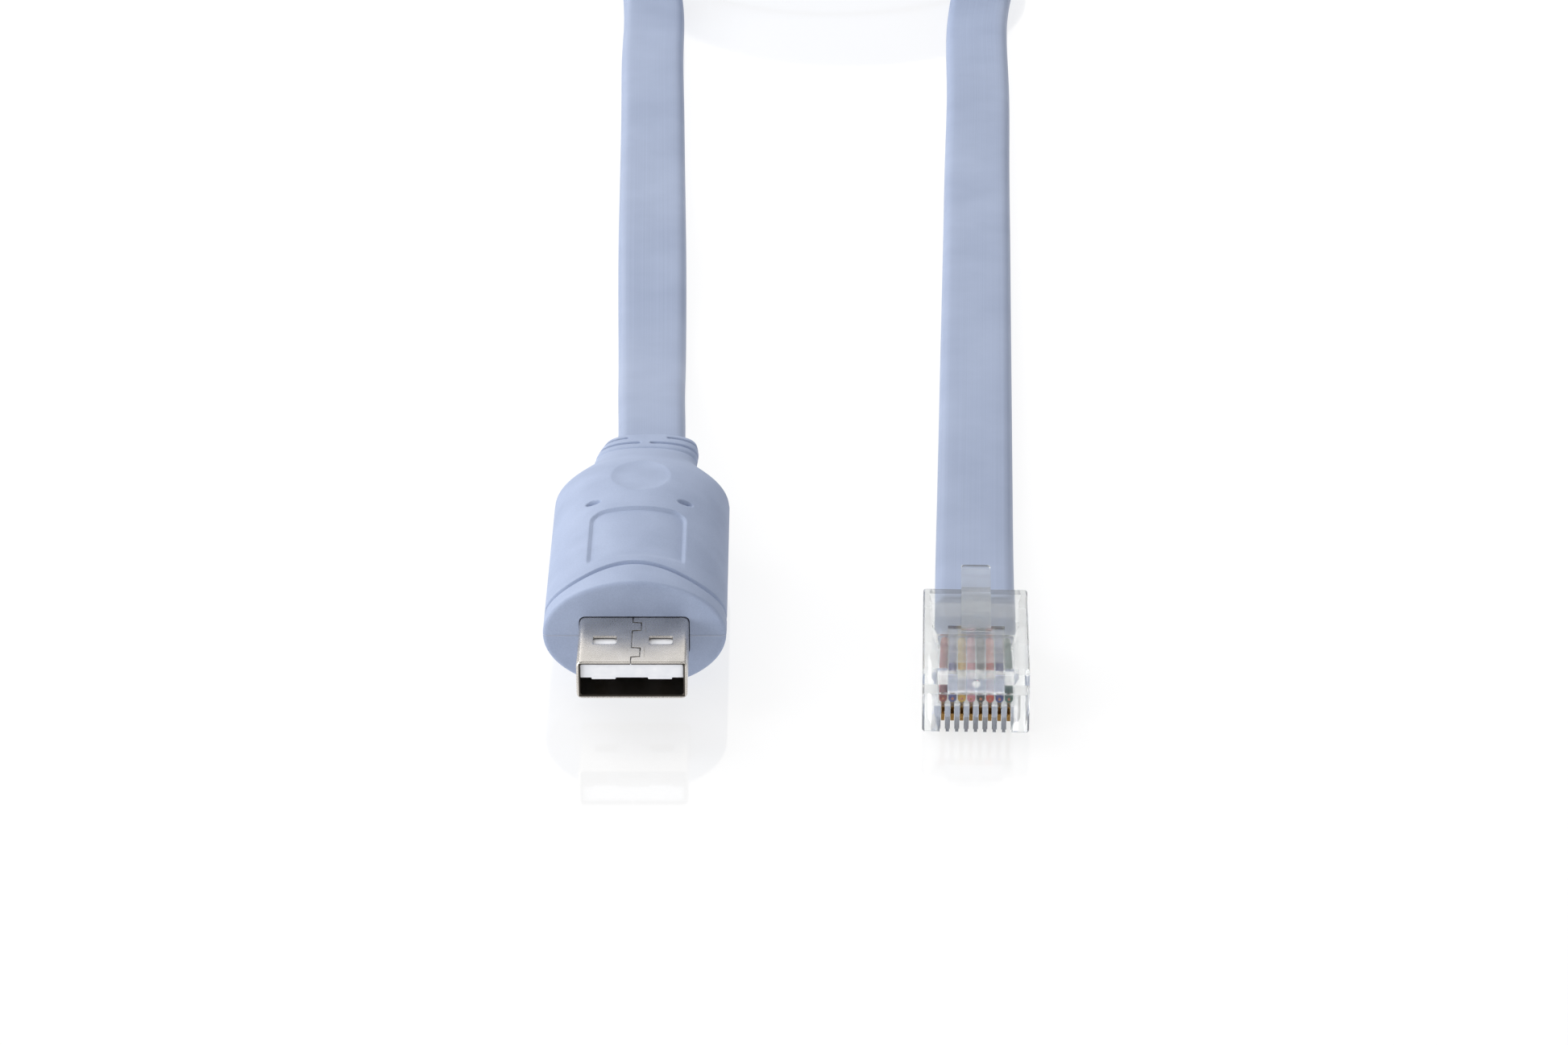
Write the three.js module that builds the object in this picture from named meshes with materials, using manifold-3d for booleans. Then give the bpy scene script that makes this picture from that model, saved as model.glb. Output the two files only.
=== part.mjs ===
// Console cable: a USB plug and an 8-pin modular plug on one flat cable.
// Millimetres, +Z up. Both plugs lie on the floor (z = 0) and point to -Y.
import * as THREE from 'three';
import { mergeVertices } from 'three/addons/utils/BufferGeometryUtils.js';
import Module from 'manifold-3d';

const wasm = await Module();
wasm.setup();

// Gap that touching pieces keep.
const GAP = 0.3;
// Closer gap between flat faces inside the plugs.
const SEAT = 0.1;
// Height that the cable keeps off the floor.
const FLOOR_GAP = 0.2;

// USB plug: place, grip body and strain relief.
const USB_X = -16.45;
const GRIP_HALF_W = 10.1;
const GRIP_HALF_H = 6.55;
const GRIP_LENGTH = 33.2;
const SHOULDER_LENGTH = 11.9;
const CROWN_LENGTH = 20.1;
const SHOULDER_POWER = 2.7;
const CROWN_POWER = 1.66;
const NECK_LENGTH = 5.4;
const NECK_HALF_W = 6;
const NECK_HALF_H = 2.3;
const NECK_TAPER = 0.88;
const NECK_LEAN = 0.65;
const NECK_ROUND = 0.5;
const NECK_CORE = 0.35;
const LIP_SIDE = 3.5;
const LIP_TOP = 4.6;
const LIP_DIP = 4.1;
const LIP_GROOVE = 0.6;
const EDGE_ROUND = 0.5;
const PANEL_HALF_W = 5.4;
const PANEL_START = 5.4;
const PANEL_LENGTH = 14.3;
const PANEL_DEPTH = 0.3;
const PANEL_CORNER = 2;
const SLIT_X = 5.2;
const SLIT_LENGTH = 1.5;
const SLIT_WIDTH = 0.7;
const SLIT_BEHIND_PANEL = 2.3;
const DIMPLE_HALF_W = 3.4;
const DIMPLE_HALF_L = 4.6;
const DIMPLE_DEPTH = 0.45;
const DIMPLE_BEHIND_PANEL = 9.3;
const RING_SLOT = 0.45;
const BRIDGE = 1.5;

// USB plug: metal shell, white tongue and contacts.
const SHELL_W = 12;
const SHELL_H = 4.5;
const SHELL_WALL = 0.3;
const SHELL_CORNER = 0.6;
const SHELL_OUT = 10.6;
const SHELL_IN = 5;
const WINDOW_W = 2.6;
const WINDOW_L = 1.95;
const WINDOW_X = 3.05;
const WINDOW_START = 4.15;
const TONGUE_THICK = 1.75;
const TONGUE_FRONT = 0.4;
const TONGUE_BASE_START = 9.2;
const PAD_STEP = 0.2;
const CONTACT_W = 1;
const CONTACT_THICK = 0.2;
const CONTACT_OUTER_X = 3.5;
const CONTACT_INNER_X = 1;
const CONTACT_OUTER_FRONT = 1.2;
const CONTACT_INNER_FRONT = 2.2;

// Flat cable.
const CABLE_W = 9;
const CABLE_T = 2.5;

// Hank behind the view: a racetrack of two layers, standing on edge.
const HANK_RADIUS = 31;
const HANK_STRAIGHT = 85;
const HANK_NEAR = 288;
const HANK_PITCH = 3.3;
const HANK_TRACKS = 3;
const HANK_LEFT_X = -22;
const HUMP = 1.5;
const HUMP_LENGTH = 68;
const DROP_LENGTH = 42;
const USB_DRIFT = -0.0237;
const RJ_DRIFT = 0.0385;
const TIE_LENGTH = 10;
const TIE_THICK = 0.8;

// Modular plug.
const RJ_X = 20.81;
const RJ_Y = 0.4;
const RJ_YAW = -1.7;
const RJ_W = 11.68;
const RJ_L = 21.46;
const RJ_H = 6.6;
const RJ_CORNER = 0.33;
const WIRE_COUNT = 8;
const WIRE_PITCH = 1.02;
const WIRE_D = 0.92;
const WIRE_Z = 3.83;
const WIRE_START = 0.6;
const JACKET_START = 11.8;
const JACKET_TAPER = 2.3;
const JACKET_TAPER_IN = 0.5;
const FUNNEL_LENGTH = 2.2;
const FUNNEL_FLARE = 0.5;
const JACKET_Z = 3.3;
const BLADE_W = 0.3;
const BLADE_FIT = 0.04;
const BLADE_FOOT_W = 0.4;
const BLADE_FOOT_TOP = 1.95;
const BLADE_BOTTOM = 1.1;
const BLADE_START = 0.5;
const BLADE_RISE_START = 1.3;
const BLADE_LENGTH = 3.3;
const NOTCH_W = 2.74;
const NOTCH_H = 2;
const NOTCH_L = 2.2;
const BROW_W = 4.1;
const BROW_RISE = 0.15;
const EJECTOR_D = 0.9;
const EJECTOR_DROP = 0.85;
const LATCH_W = 6.2;
const LATCH_TAB_W = 3.25;
const LATCH_THICK = 0.7;
const LATCH_TAB_THICK = 0.5;
const LATCH_ROOT_Y = 0.55;
const LATCH_ROOT_BACK = 3;
const LATCH_ROOT_RISE = 0.45;
const LATCH_TIP_CORNER = 0.4;
const TOOTH_TIP_H = 0.35;
const TOOTH_TIP_GAP = 0.66;
const LATCH_STEP_Y = 8.6;
const LATCH_TIP_Y = 21;
const LATCH_STEP_RISE = 1.95;
const LATCH_TIP_RISE = 3.3;

const WIRE_COLOURS = ['#a8403a', '#5a5f9e', '#e0b93a', '#e3a3ad', '#26282b', '#dc5f3c', '#2c4a9c', '#1f6b57'];

const latchRootZ = RJ_H + LATCH_ROOT_RISE;
const latchStepZ = RJ_H + LATCH_STEP_RISE;
const latchTipZ = RJ_H + LATCH_TIP_RISE;
const usbAxis = GRIP_HALF_H;
const lipStart = SHELL_OUT;
const shoulderStart = SHELL_OUT + GRIP_LENGTH;
const neckStart = shoulderStart + SHOULDER_LENGTH;
const neckEnd = neckStart + NECK_LENGTH;
const jacketDepth = NECK_LENGTH - 1;
const trackSpan = (HANK_TRACKS - 1) * HANK_PITCH + CABLE_T;
const hankX = HANK_LEFT_X + HANK_RADIUS;
const hankOuter = HANK_RADIUS + CABLE_T / 2;
const hankBottom = TIE_THICK + GAP;
const hankHeight = 2 * CABLE_W + GAP;

function material(colour, roughness, metalness, opacity = 1) {
  const made = new THREE.MeshStandardMaterial({ color: colour, roughness, metalness });
  made.opacity = opacity;
  made.transparent = opacity < 1;
  return made;
}

const softPlastic = material('#a9b5d0', 0.6, 0);
const jacketPlastic = material('#a5b1ce', 0.45, 0);
const nickel = material('#c4bfbb', 0.25, 1);
const whitePlastic = material('#eceef2', 0.5, 0);
const gold = material('#c9a24a', 0.25, 1);
const clearPlastic = material('#e8ecee', 0.08, 0, 0.35);
const tieFabric = material('#2a2b2e', 0.9, 0);

function named(name, geometry, look) {
  const mesh = new THREE.Mesh(geometry, look);
  mesh.name = name;
  return mesh;
}

function solidOf(geometry) {
  const bare = geometry.clone();
  bare.deleteAttribute('normal');
  bare.deleteAttribute('uv');
  const joined = mergeVertices(bare, 1e-5);
  return new wasm.Manifold(new wasm.Mesh({
    numProp: 3,
    vertProperties: new Float32Array(joined.attributes.position.array),
    triVerts: new Uint32Array(joined.index.array),
  }));
}

function geometryOf(solid) {
  const mesh = solid.getMesh();
  const geometry = new THREE.BufferGeometry();
  geometry.setAttribute('position', new THREE.BufferAttribute(new Float32Array(mesh.vertProperties), 3));
  geometry.setIndex(new THREE.BufferAttribute(new Uint32Array(mesh.triVerts), 1));
  geometry.computeVertexNormals();
  return geometry;
}

// Box given by its low and high corners.
function box(x0, x1, y0, y1, z0, z1) {
  const geometry = new THREE.BoxGeometry(x1 - x0, y1 - y0, z1 - z0);
  geometry.translate((x0 + x1) / 2, (y0 + y1) / 2, (z0 + z1) / 2);
  return geometry;
}

function roundedRect(path, w, h, r) {
  path.moveTo(-w / 2 + r, -h / 2);
  path.lineTo(w / 2 - r, -h / 2);
  path.absarc(w / 2 - r, -h / 2 + r, r, -Math.PI / 2, 0, false);
  path.lineTo(w / 2, h / 2 - r);
  path.absarc(w / 2 - r, h / 2 - r, r, 0, Math.PI / 2, false);
  path.lineTo(-w / 2 + r, h / 2);
  path.absarc(-w / 2 + r, h / 2 - r, r, Math.PI / 2, Math.PI, false);
  path.lineTo(-w / 2, -h / 2 + r);
  path.absarc(-w / 2 + r, -h / 2 + r, r, Math.PI, 1.5 * Math.PI, false);
  return path;
}

// A shape drawn in x and z, pushed along Y from y0 to y1.
function alongY(shape, y0, y1, segments = 4) {
  const geometry = new THREE.ExtrudeGeometry(shape, {
    depth: y1 - y0, bevelEnabled: false, curveSegments: segments,
  });
  geometry.rotateX(Math.PI / 2);
  geometry.translate(0, y1, 0);
  return geometry;
}

// A side view drawn in y and z, pushed along X and centred on x.
function alongX(points, width, x) {
  const shape = new THREE.Shape(points.map(([y, z]) => new THREE.Vector2(y, z)));
  const geometry = new THREE.ExtrudeGeometry(shape, { depth: width, bevelEnabled: false });
  geometry.applyMatrix4(new THREE.Matrix4().set(0, 0, 1, x - width / 2, 1, 0, 0, 0, 0, 1, 0, 0, 0, 0, 0, 1));
  return geometry;
}

// Closed skin through rings of points that follow each other along Y.
function loft(rings) {
  const count = rings[0].length;
  const positions = rings.flat(2);
  const index = [];
  for (let i = 0; i + 1 < rings.length; i += 1) {
    for (let j = 0; j < count; j += 1) {
      const k = (j + 1) % count;
      index.push(i * count + j, (i + 1) * count + j, (i + 1) * count + k);
      index.push(i * count + j, (i + 1) * count + k, i * count + k);
    }
  }
  const ends = [rings[0], rings[rings.length - 1]];
  ends.forEach((ring, end) => {
    const centre = positions.length / 3;
    const mean = [0, 1, 2].map((axis) => ring.reduce((sum, p) => sum + p[axis], 0) / count);
    positions.push(...mean);
    const start = end * (rings.length - 1) * count;
    for (let j = 0; j < count; j += 1) {
      const k = (j + 1) % count;
      index.push(centre, start + (end ? k : j), start + (end ? j : k));
    }
  });
  const geometry = new THREE.BufferGeometry();
  geometry.setAttribute('position', new THREE.Float32BufferAttribute(positions, 3));
  geometry.setIndex(index);
  return geometry;
}

// Length of the front lip at a height s: s is 0 at the sides and 1 at the top and bottom.
function lipLength(s) {
  return LIP_SIDE - LIP_DIP * s ** 2 + (LIP_TOP - LIP_SIDE + LIP_DIP) * s ** 4;
}

// Width and height of the grip at y. The top falls away sooner than the sides.
function gripSize(y) {
  const side = Math.min(1, Math.max(0, 1 - (neckStart - y) / SHOULDER_LENGTH));
  const crown = Math.min(1, Math.max(0, 1 - (neckStart - y) / CROWN_LENGTH));
  return [
    NECK_HALF_W + (GRIP_HALF_W - NECK_HALF_W) * (1 - side ** 2) ** SHOULDER_POWER,
    NECK_HALF_H + (GRIP_HALF_H - NECK_HALF_H) * (1 - crown ** CROWN_POWER),
  ];
}

// Rows of the overmould: [y or distance past the lip, half width, half height, inset, past lip?].
function gripRows() {
  const w = GRIP_HALF_W;
  const h = GRIP_HALF_H;
  const rows = [
    { y: lipStart, w, h, inset: EDGE_ROUND },
    { y: lipStart + 0.3 * EDGE_ROUND, w, h, inset: 0.3 * EDGE_ROUND },
    { y: lipStart + EDGE_ROUND, w, h, inset: 0 },
    { past: -0.15, w, h, inset: 0 },
    { past: 0, w, h, inset: 0.15 },
    { past: 0.05, w, h, inset: LIP_GROOVE },
    { past: 0.6, w, h, inset: LIP_GROOVE },
    { past: 0.85, w, h, inset: 0.1 },
    { past: 1.3, w, h, inset: 0 },
  ];
  const crownStart = neckStart - CROWN_LENGTH;
  for (let i = 0; i <= 3; i += 1) {
    const y = lipStart + LIP_TOP + 2 + (crownStart - lipStart - LIP_TOP - 2) * (i / 3);
    rows.push({ y, w, h, inset: 0 });
  }
  for (let i = 1; i <= 14; i += 1) {
    const t = Math.sin((i / 14) * (Math.PI / 2));
    const y = crownStart + t * CROWN_LENGTH;
    const [sw, sh] = gripSize(y);
    rows.push({ y, w: sw, h: sh, inset: 0, flat: t ** 4 });
  }
  [0.2, 0.4, 0.6, 0.8, 0.94, 1].forEach((t) => {
    const taper = 1 - (1 - NECK_TAPER) * t * t;
    const y = neckStart + t * NECK_LENGTH;
    const lean = NECK_LEAN * t;
    const low = 1 - 2 * (1 - NECK_TAPER) * t * t;
    const inset = NECK_ROUND * Math.max(0, (t - 0.8) / 0.2) ** 2;
    rows.push({ y, w: NECK_HALF_W * taper, h: NECK_HALF_H * low, inset, flat: 1, lean });
  });
  return rows;
}

// Overmould skin, drawn smaller by the depth that less(y) gives.
function gripSkin(less, segments = 56) {
  const rings = gripRows().map((row) => {
    const power = 1 - 0.2 * (row.flat ?? 0);
    const ring = [];
    for (let j = 0; j < segments; j += 1) {
      const angle = (j / segments) * 2 * Math.PI;
      const c = Math.cos(angle);
      const s = Math.sin(angle);
      const y = row.y ?? lipStart + lipLength(Math.abs(s)) + row.past;
      const cut = row.inset + less(y);
      const x = (row.lean ?? 0) + Math.sign(c) * Math.abs(c) ** power * (row.w - cut);
      const z = Math.sign(s) * Math.abs(s) ** power * (row.h - cut);
      ring.push([x, y, usbAxis + z]);
    }
    return ring;
  });
  return loft(rings);
}

// Recessed label field: open and level at its front, deepest at its back.
function labelCut() {
  const y0 = lipStart + PANEL_START;
  const y1 = y0 + PANEL_LENGTH;
  const outline = new THREE.Shape();
  outline.moveTo(-PANEL_HALF_W, y0);
  outline.lineTo(PANEL_HALF_W, y0);
  outline.lineTo(PANEL_HALF_W, y1 - PANEL_CORNER);
  outline.absarc(PANEL_HALF_W - PANEL_CORNER, y1 - PANEL_CORNER, PANEL_CORNER, 0, Math.PI / 2, false);
  outline.lineTo(-PANEL_HALF_W + PANEL_CORNER, y1);
  outline.absarc(-PANEL_HALF_W + PANEL_CORNER, y1 - PANEL_CORNER, PANEL_CORNER, Math.PI / 2, Math.PI, false);
  const prism = new THREE.ExtrudeGeometry(outline, { depth: GRIP_HALF_H + 1, bevelEnabled: false, curveSegments: 6 });
  prism.translate(0, 0, usbAxis + 1);
  const floor = solidOf(gripSkin((y) => PANEL_DEPTH * Math.min(1, Math.max(0, (y - y0) / (0.4 * PANEL_LENGTH)))));
  return solidOf(prism).subtract(floor);
}

// Small blind slit on each side behind the label field.
function slitCut(side) {
  const slit = new THREE.SphereGeometry(0.5, 16, 8);
  slit.scale(SLIT_LENGTH, SLIT_WIDTH, 3);
  const lean = SLIT_X / GRIP_HALF_W;
  const z = usbAxis + GRIP_HALF_H * Math.sqrt(1 - lean * lean);
  slit.translate(side * SLIT_X, lipStart + PANEL_START + PANEL_LENGTH + SLIT_BEHIND_PANEL, z);
  return solidOf(slit);
}

// Shallow oval thumb dimple behind the label field.
function dimpleCut() {
  const y = lipStart + PANEL_START + PANEL_LENGTH + DIMPLE_BEHIND_PANEL;
  const dimple = new THREE.SphereGeometry(1, 40, 20);
  dimple.scale(DIMPLE_HALF_W * 1.25, DIMPLE_HALF_L * 1.25, 2 * DIMPLE_DEPTH);
  dimple.rotateX(Math.atan((gripSize(y + 1)[1] - gripSize(y - 1)[1]) / 2));
  dimple.translate(0, y, usbAxis + gripSize(y)[1] + 0.55 * DIMPLE_DEPTH);
  return solidOf(dimple);
}

// Slots that part the rings of the strain relief, left and right of a bridge.
function ringSlots() {
  const coreW = CABLE_W + 2 * (SEAT + NECK_CORE);
  const coreH = CABLE_T + 2 * (SEAT + NECK_CORE);
  const core = solidOf(alongY(roundedRect(new THREE.Shape(), coreW, coreH, 0.4 * coreH), 0, neckEnd + 5));
  const centred = core.translate([NECK_LEAN, 0, usbAxis]);
  const reach = NECK_HALF_W + 2;
  const places = [[0.25, BRIDGE], [0.62, 3 * BRIDGE]];
  return places.flatMap(([share, bridge]) => [-1, 1].map((side) => {
    const y = neckStart + share * NECK_LENGTH;
    const near = NECK_LEAN + side * bridge / 2;
    const far = side * reach;
    const slot = box(Math.min(near, far), Math.max(near, far), y, y + RING_SLOT, usbAxis - reach, usbAxis + reach);
    return solidOf(slot).subtract(centred);
  }));
}

function usbOvermould() {
  let grip = solidOf(gripSkin(() => 0));
  grip = grip.subtract(labelCut());
  grip = grip.subtract(slitCut(1)).subtract(slitCut(-1));
  grip = grip.subtract(dimpleCut());
  ringSlots().forEach((slot) => {
    grip = grip.subtract(slot);
  });
  const pocketOutline = roundedRect(new THREE.Shape(), SHELL_W + 2 * SEAT, SHELL_H + 2 * SEAT, SHELL_CORNER + SEAT);
  const pocket = alongY(pocketOutline, lipStart - 1, lipStart + SHELL_IN + GAP);
  grip = grip.subtract(solidOf(pocket).translate([0, 0, usbAxis]));
  const x = NECK_LEAN;
  const halfW = CABLE_W / 2 + SEAT;
  const halfT = CABLE_T / 2 + SEAT;
  const seat = box(x - halfW, x + halfW, neckEnd - jacketDepth, neckEnd + 2, usbAxis - halfT, usbAxis + halfT);
  grip = grip.subtract(solidOf(seat));
  return geometryOf(grip.translate([USB_X, 0, 0]));
}

function usbShell() {
  const wall = roundedRect(new THREE.Shape(), SHELL_W, SHELL_H, SHELL_CORNER);
  wall.holes.push(roundedRect(
    new THREE.Path(), SHELL_W - 2 * SHELL_WALL, SHELL_H - 2 * SHELL_WALL, SHELL_CORNER - SHELL_WALL,
  ));
  let shell = solidOf(alongY(wall, 0, SHELL_OUT + SHELL_IN));
  [-1, 1].forEach((side) => {
    const x = side * WINDOW_X;
    const y1 = WINDOW_START + WINDOW_L;
    shell = shell.subtract(solidOf(box(x - WINDOW_W / 2, x + WINDOW_W / 2, WINDOW_START, y1, -SHELL_H, SHELL_H)));
  });
  return geometryOf(shell.translate([USB_X, 0, usbAxis]));
}

function usbTongue() {
  const halfW = SHELL_W / 2 - SHELL_WALL - SEAT;
  const top = SHELL_H / 2 - SHELL_WALL - SEAT;
  const end = SHELL_OUT + SHELL_IN;
  let tongue = solidOf(box(-halfW, halfW, TONGUE_FRONT, end, top - TONGUE_THICK, top));
  tongue = tongue.add(solidOf(box(-halfW, halfW, TONGUE_BASE_START, end, -top, top)));
  [-1, 1].forEach((side) => {
    const x = side * WINDOW_X;
    const low = top - TONGUE_THICK - PAD_STEP;
    const foot = box(x - WINDOW_W / 2, x + WINDOW_W / 2, TONGUE_FRONT, TONGUE_FRONT + 0.5, low, top - 0.5);
    tongue = tongue.add(solidOf(foot));
  });
  return geometryOf(tongue.translate([USB_X, 0, usbAxis]));
}

function usbContacts() {
  const top = SHELL_H / 2 - SHELL_WALL - SEAT - TONGUE_THICK - SEAT;
  return [-CONTACT_OUTER_X, -CONTACT_INNER_X, CONTACT_INNER_X, CONTACT_OUTER_X].map((x, i) => {
    const outer = i === 0 || i === 3;
    const y0 = outer ? CONTACT_OUTER_FRONT : CONTACT_INNER_FRONT;
    const y1 = TONGUE_BASE_START - SEAT;
    const strip = box(x - CONTACT_W / 2, x + CONTACT_W / 2, y0, y1, top - CONTACT_THICK, top);
    strip.translate(USB_X, 0, usbAxis);
    return named(`usb_contact_${i + 1}`, strip, gold);
  });
}

// A plan drawn in x and y, pushed up from z0 to z1.
function alongZ(shape, z0, z1) {
  const geometry = new THREE.ExtrudeGeometry(shape, { depth: z1 - z0, bevelEnabled: false, curveSegments: 4 });
  geometry.translate(0, 0, z0);
  return geometry;
}

// Side view of the latch's wide part and of its narrow tab. The tab's tip has round corners in plan.
function latchParts() {
  const stepLow = latchStepZ - LATCH_THICK;
  const rise = (latchTipZ - latchStepZ) / (LATCH_TIP_Y - LATCH_STEP_Y);
  const wide = alongX([
    [LATCH_ROOT_Y, RJ_H - 1],
    [LATCH_ROOT_BACK, RJ_H - 1],
    [LATCH_ROOT_BACK, RJ_H + 0.15],
    [LATCH_STEP_Y, stepLow],
    [LATCH_STEP_Y, latchStepZ],
    [LATCH_ROOT_BACK - 0.2, latchRootZ],
    [LATCH_ROOT_Y + 0.35, latchRootZ - 0.05],
    [LATCH_ROOT_Y, RJ_H - 0.3],
  ], LATCH_W, 0);
  const tab = alongX([
    [LATCH_STEP_Y - 1, latchStepZ - rise - LATCH_TAB_THICK],
    [LATCH_TIP_Y, latchTipZ - LATCH_TAB_THICK],
    [LATCH_TIP_Y, latchTipZ],
    [LATCH_STEP_Y - 1, latchStepZ - rise],
  ], LATCH_TAB_W, 0);
  const length = LATCH_TIP_Y - LATCH_STEP_Y + 3;
  const plan = roundedRect(new THREE.Shape(), LATCH_TAB_W, length, LATCH_TIP_CORNER);
  const around = solidOf(alongZ(plan, RJ_H, latchTipZ + 1)).translate([0, LATCH_TIP_Y - length / 2, 0]);
  return [solidOf(wide), solidOf(tab).intersect(around)];
}

// Raised pad on the slanted front of the latch's root, with the round mark of an ejector pin.
function browPad() {
  const front = RJ_H - NOTCH_H + 0.1;
  const pad = solidOf(alongX([
    [LATCH_ROOT_Y, front],
    [LATCH_ROOT_BACK - 0.4, front],
    [LATCH_ROOT_BACK - 0.4, latchRootZ + BROW_RISE - 0.05],
    [LATCH_ROOT_Y + 0.3, latchRootZ + BROW_RISE - 0.05],
    [LATCH_ROOT_Y - BROW_RISE, RJ_H - 0.3],
    [0.3 - BROW_RISE, front],
  ], BROW_W, 0));
  const pin = alongY(new THREE.Shape().absarc(0, 0, EJECTOR_D / 2, 0, 2 * Math.PI, false), 0.15, LATCH_ROOT_Y + 0.2, 8);
  return pad.add(solidOf(pin).translate([0, 0, RJ_H - EJECTOR_DROP]));
}

function placeX(i) {
  return (i - (WIRE_COUNT - 1) / 2) * WIRE_PITCH;
}

// Cutters for the slot of one blade, open to the front and below, and wider between the tips of the teeth.
function slotCuts(x) {
  const back = BLADE_START + BLADE_LENGTH + SEAT;
  const footHalf = BLADE_FOOT_W / 2 + BLADE_FIT;
  const half = BLADE_W / 2 + BLADE_FIT;
  const tipHalf = TOOTH_TIP_GAP / 2;
  return [
    box(x - tipHalf, x + tipHalf, -1, back, -1, TOOTH_TIP_H),
    box(x - footHalf, x + footHalf, -1, back, -1, BLADE_FOOT_TOP + SEAT),
    box(x - half, x + half, -1, back, 0, WIRE_Z - WIRE_D / 2 - 0.3),
    box(x - half, x + half, BLADE_RISE_START - SEAT, back, 0, WIRE_Z),
  ];
}

// Room for the jacket: straight, drawn in where the jacket ends, and flared at the rear to both sides and below.
function jacketRoom() {
  const half = CABLE_W / 2 + GAP;
  const thick = CABLE_T / 2 + GAP;
  const inner = half - JACKET_TAPER_IN;
  const outer = half + FUNNEL_FLARE;
  const taperEnd = JACKET_START + JACKET_TAPER;
  const funnel = RJ_L - FUNNEL_LENGTH;
  const plan = new THREE.Shape([
    [-inner, JACKET_START - GAP], [inner, JACKET_START - GAP], [half, taperEnd], [half, funnel], [outer, RJ_L + 1],
    [-outer, RJ_L + 1], [-half, funnel], [-half, taperEnd],
  ].map(([x, y]) => new THREE.Vector2(x, y)));
  const side = alongX([
    [JACKET_START - 1, JACKET_Z - thick],
    [funnel, JACKET_Z - thick],
    [RJ_L + 1, JACKET_Z - thick - FUNNEL_FLARE],
    [RJ_L + 1, JACKET_Z + thick],
    [JACKET_START - 1, JACKET_Z + thick],
  ], RJ_W, 0);
  return solidOf(alongZ(plan, 0, RJ_H)).intersect(solidOf(side));
}

function rjBody() {
  const outline = roundedRect(new THREE.Shape(), RJ_W, RJ_H, RJ_CORNER);
  const plan = roundedRect(new THREE.Shape(), RJ_W, RJ_L, RJ_CORNER);
  let body = solidOf(alongY(outline, 0, RJ_L)).translate([0, 0, RJ_H / 2]);
  body = body.intersect(solidOf(alongZ(plan, -1, RJ_H + 1)).translate([0, RJ_L / 2, 0]));
  const shelf = RJ_H - NOTCH_H;
  body = body.subtract(solidOf(alongX([
    [-1, shelf], [0.3, shelf], [LATCH_ROOT_Y, RJ_H - 0.3], [LATCH_ROOT_Y + 0.35, RJ_H + 1], [-1, RJ_H + 1],
  ], RJ_W + 1, 0)));
  [-1, 1].forEach((side) => {
    const edge = RJ_W / 2;
    const x0 = side > 0 ? edge - NOTCH_W : -edge - 1;
    const x1 = side > 0 ? edge + 1 : -edge + NOTCH_W;
    body = body.subtract(solidOf(box(x0, x1, -1, NOTCH_L, shelf, RJ_H + 1)));
  });
  latchParts().forEach((part) => {
    body = body.add(part);
  });
  body = body.add(browPad());
  for (let i = 0; i < WIRE_COUNT; i += 1) {
    slotCuts(placeX(i)).forEach((cut) => {
      body = body.subtract(solidOf(cut));
    });
  }
  const half = (WIRE_COUNT * WIRE_PITCH) / 2 + SEAT;
  const wireHalf = WIRE_D / 2 + SEAT;
  body = body.subtract(solidOf(box(-half, half, WIRE_START - SEAT, JACKET_START + 0.5, WIRE_Z - wireHalf, WIRE_Z + wireHalf)));
  return geometryOf(body.subtract(jacketRoom()));
}

// A blade has a low foot at the front. Its upper part, which pierces the wire from below, stands further back.
function rjBlade(x) {
  const y1 = BLADE_START + BLADE_LENGTH;
  const top = WIRE_Z - WIRE_D / 2 - SEAT;
  const foot = solidOf(box(x - BLADE_FOOT_W / 2, x + BLADE_FOOT_W / 2, BLADE_START, y1, BLADE_BOTTOM, BLADE_FOOT_TOP));
  const rise = solidOf(box(x - BLADE_W / 2, x + BLADE_W / 2, BLADE_RISE_START, y1, BLADE_FOOT_TOP - 0.1, top));
  return geometryOf(foot.add(rise));
}

function rjWire(x) {
  const end = JACKET_START - GAP - SEAT;
  const wire = new THREE.CylinderGeometry(WIRE_D / 2, WIRE_D / 2, end - WIRE_START, 12);
  wire.translate(x, (WIRE_START + end) / 2, WIRE_Z);
  return wire;
}

// The plug lies turned a little, so that it looks along its cable.
function placePlug(mesh) {
  mesh.geometry.rotateZ(THREE.MathUtils.degToRad(RJ_YAW));
  mesh.geometry.translate(RJ_X, RJ_Y, 0);
  return mesh;
}

function modularPlug() {
  const pieces = [named('rj45_body', rjBody(), clearPlastic)];
  for (let i = 0; i < WIRE_COUNT; i += 1) {
    const wireLook = material(WIRE_COLOURS[i], 0.5, 0);
    pieces.push(named(`rj45_contact_${i + 1}`, rjBlade(placeX(i)), gold));
    pieces.push(named(`conductor_${i + 1}`, rjWire(placeX(i)), wireLook));
  }
  return pieces.map(placePlug);
}

// Flat section of the cable, twelve corners, round at both edges.
function cableSection() {
  const flat = CABLE_W / 2 - CABLE_T / 2;
  const corners = [];
  [1, -1].forEach((side) => {
    for (let i = 0; i < 6; i += 1) {
      const angle = -Math.PI / 2 + (i / 5) * Math.PI;
      corners.push(new THREE.Vector2(
        side * (flat + (CABLE_T / 2) * Math.cos(angle)), side * (CABLE_T / 2) * Math.sin(angle),
      ));
    }
  });
  return new THREE.Shape(corners);
}

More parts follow.
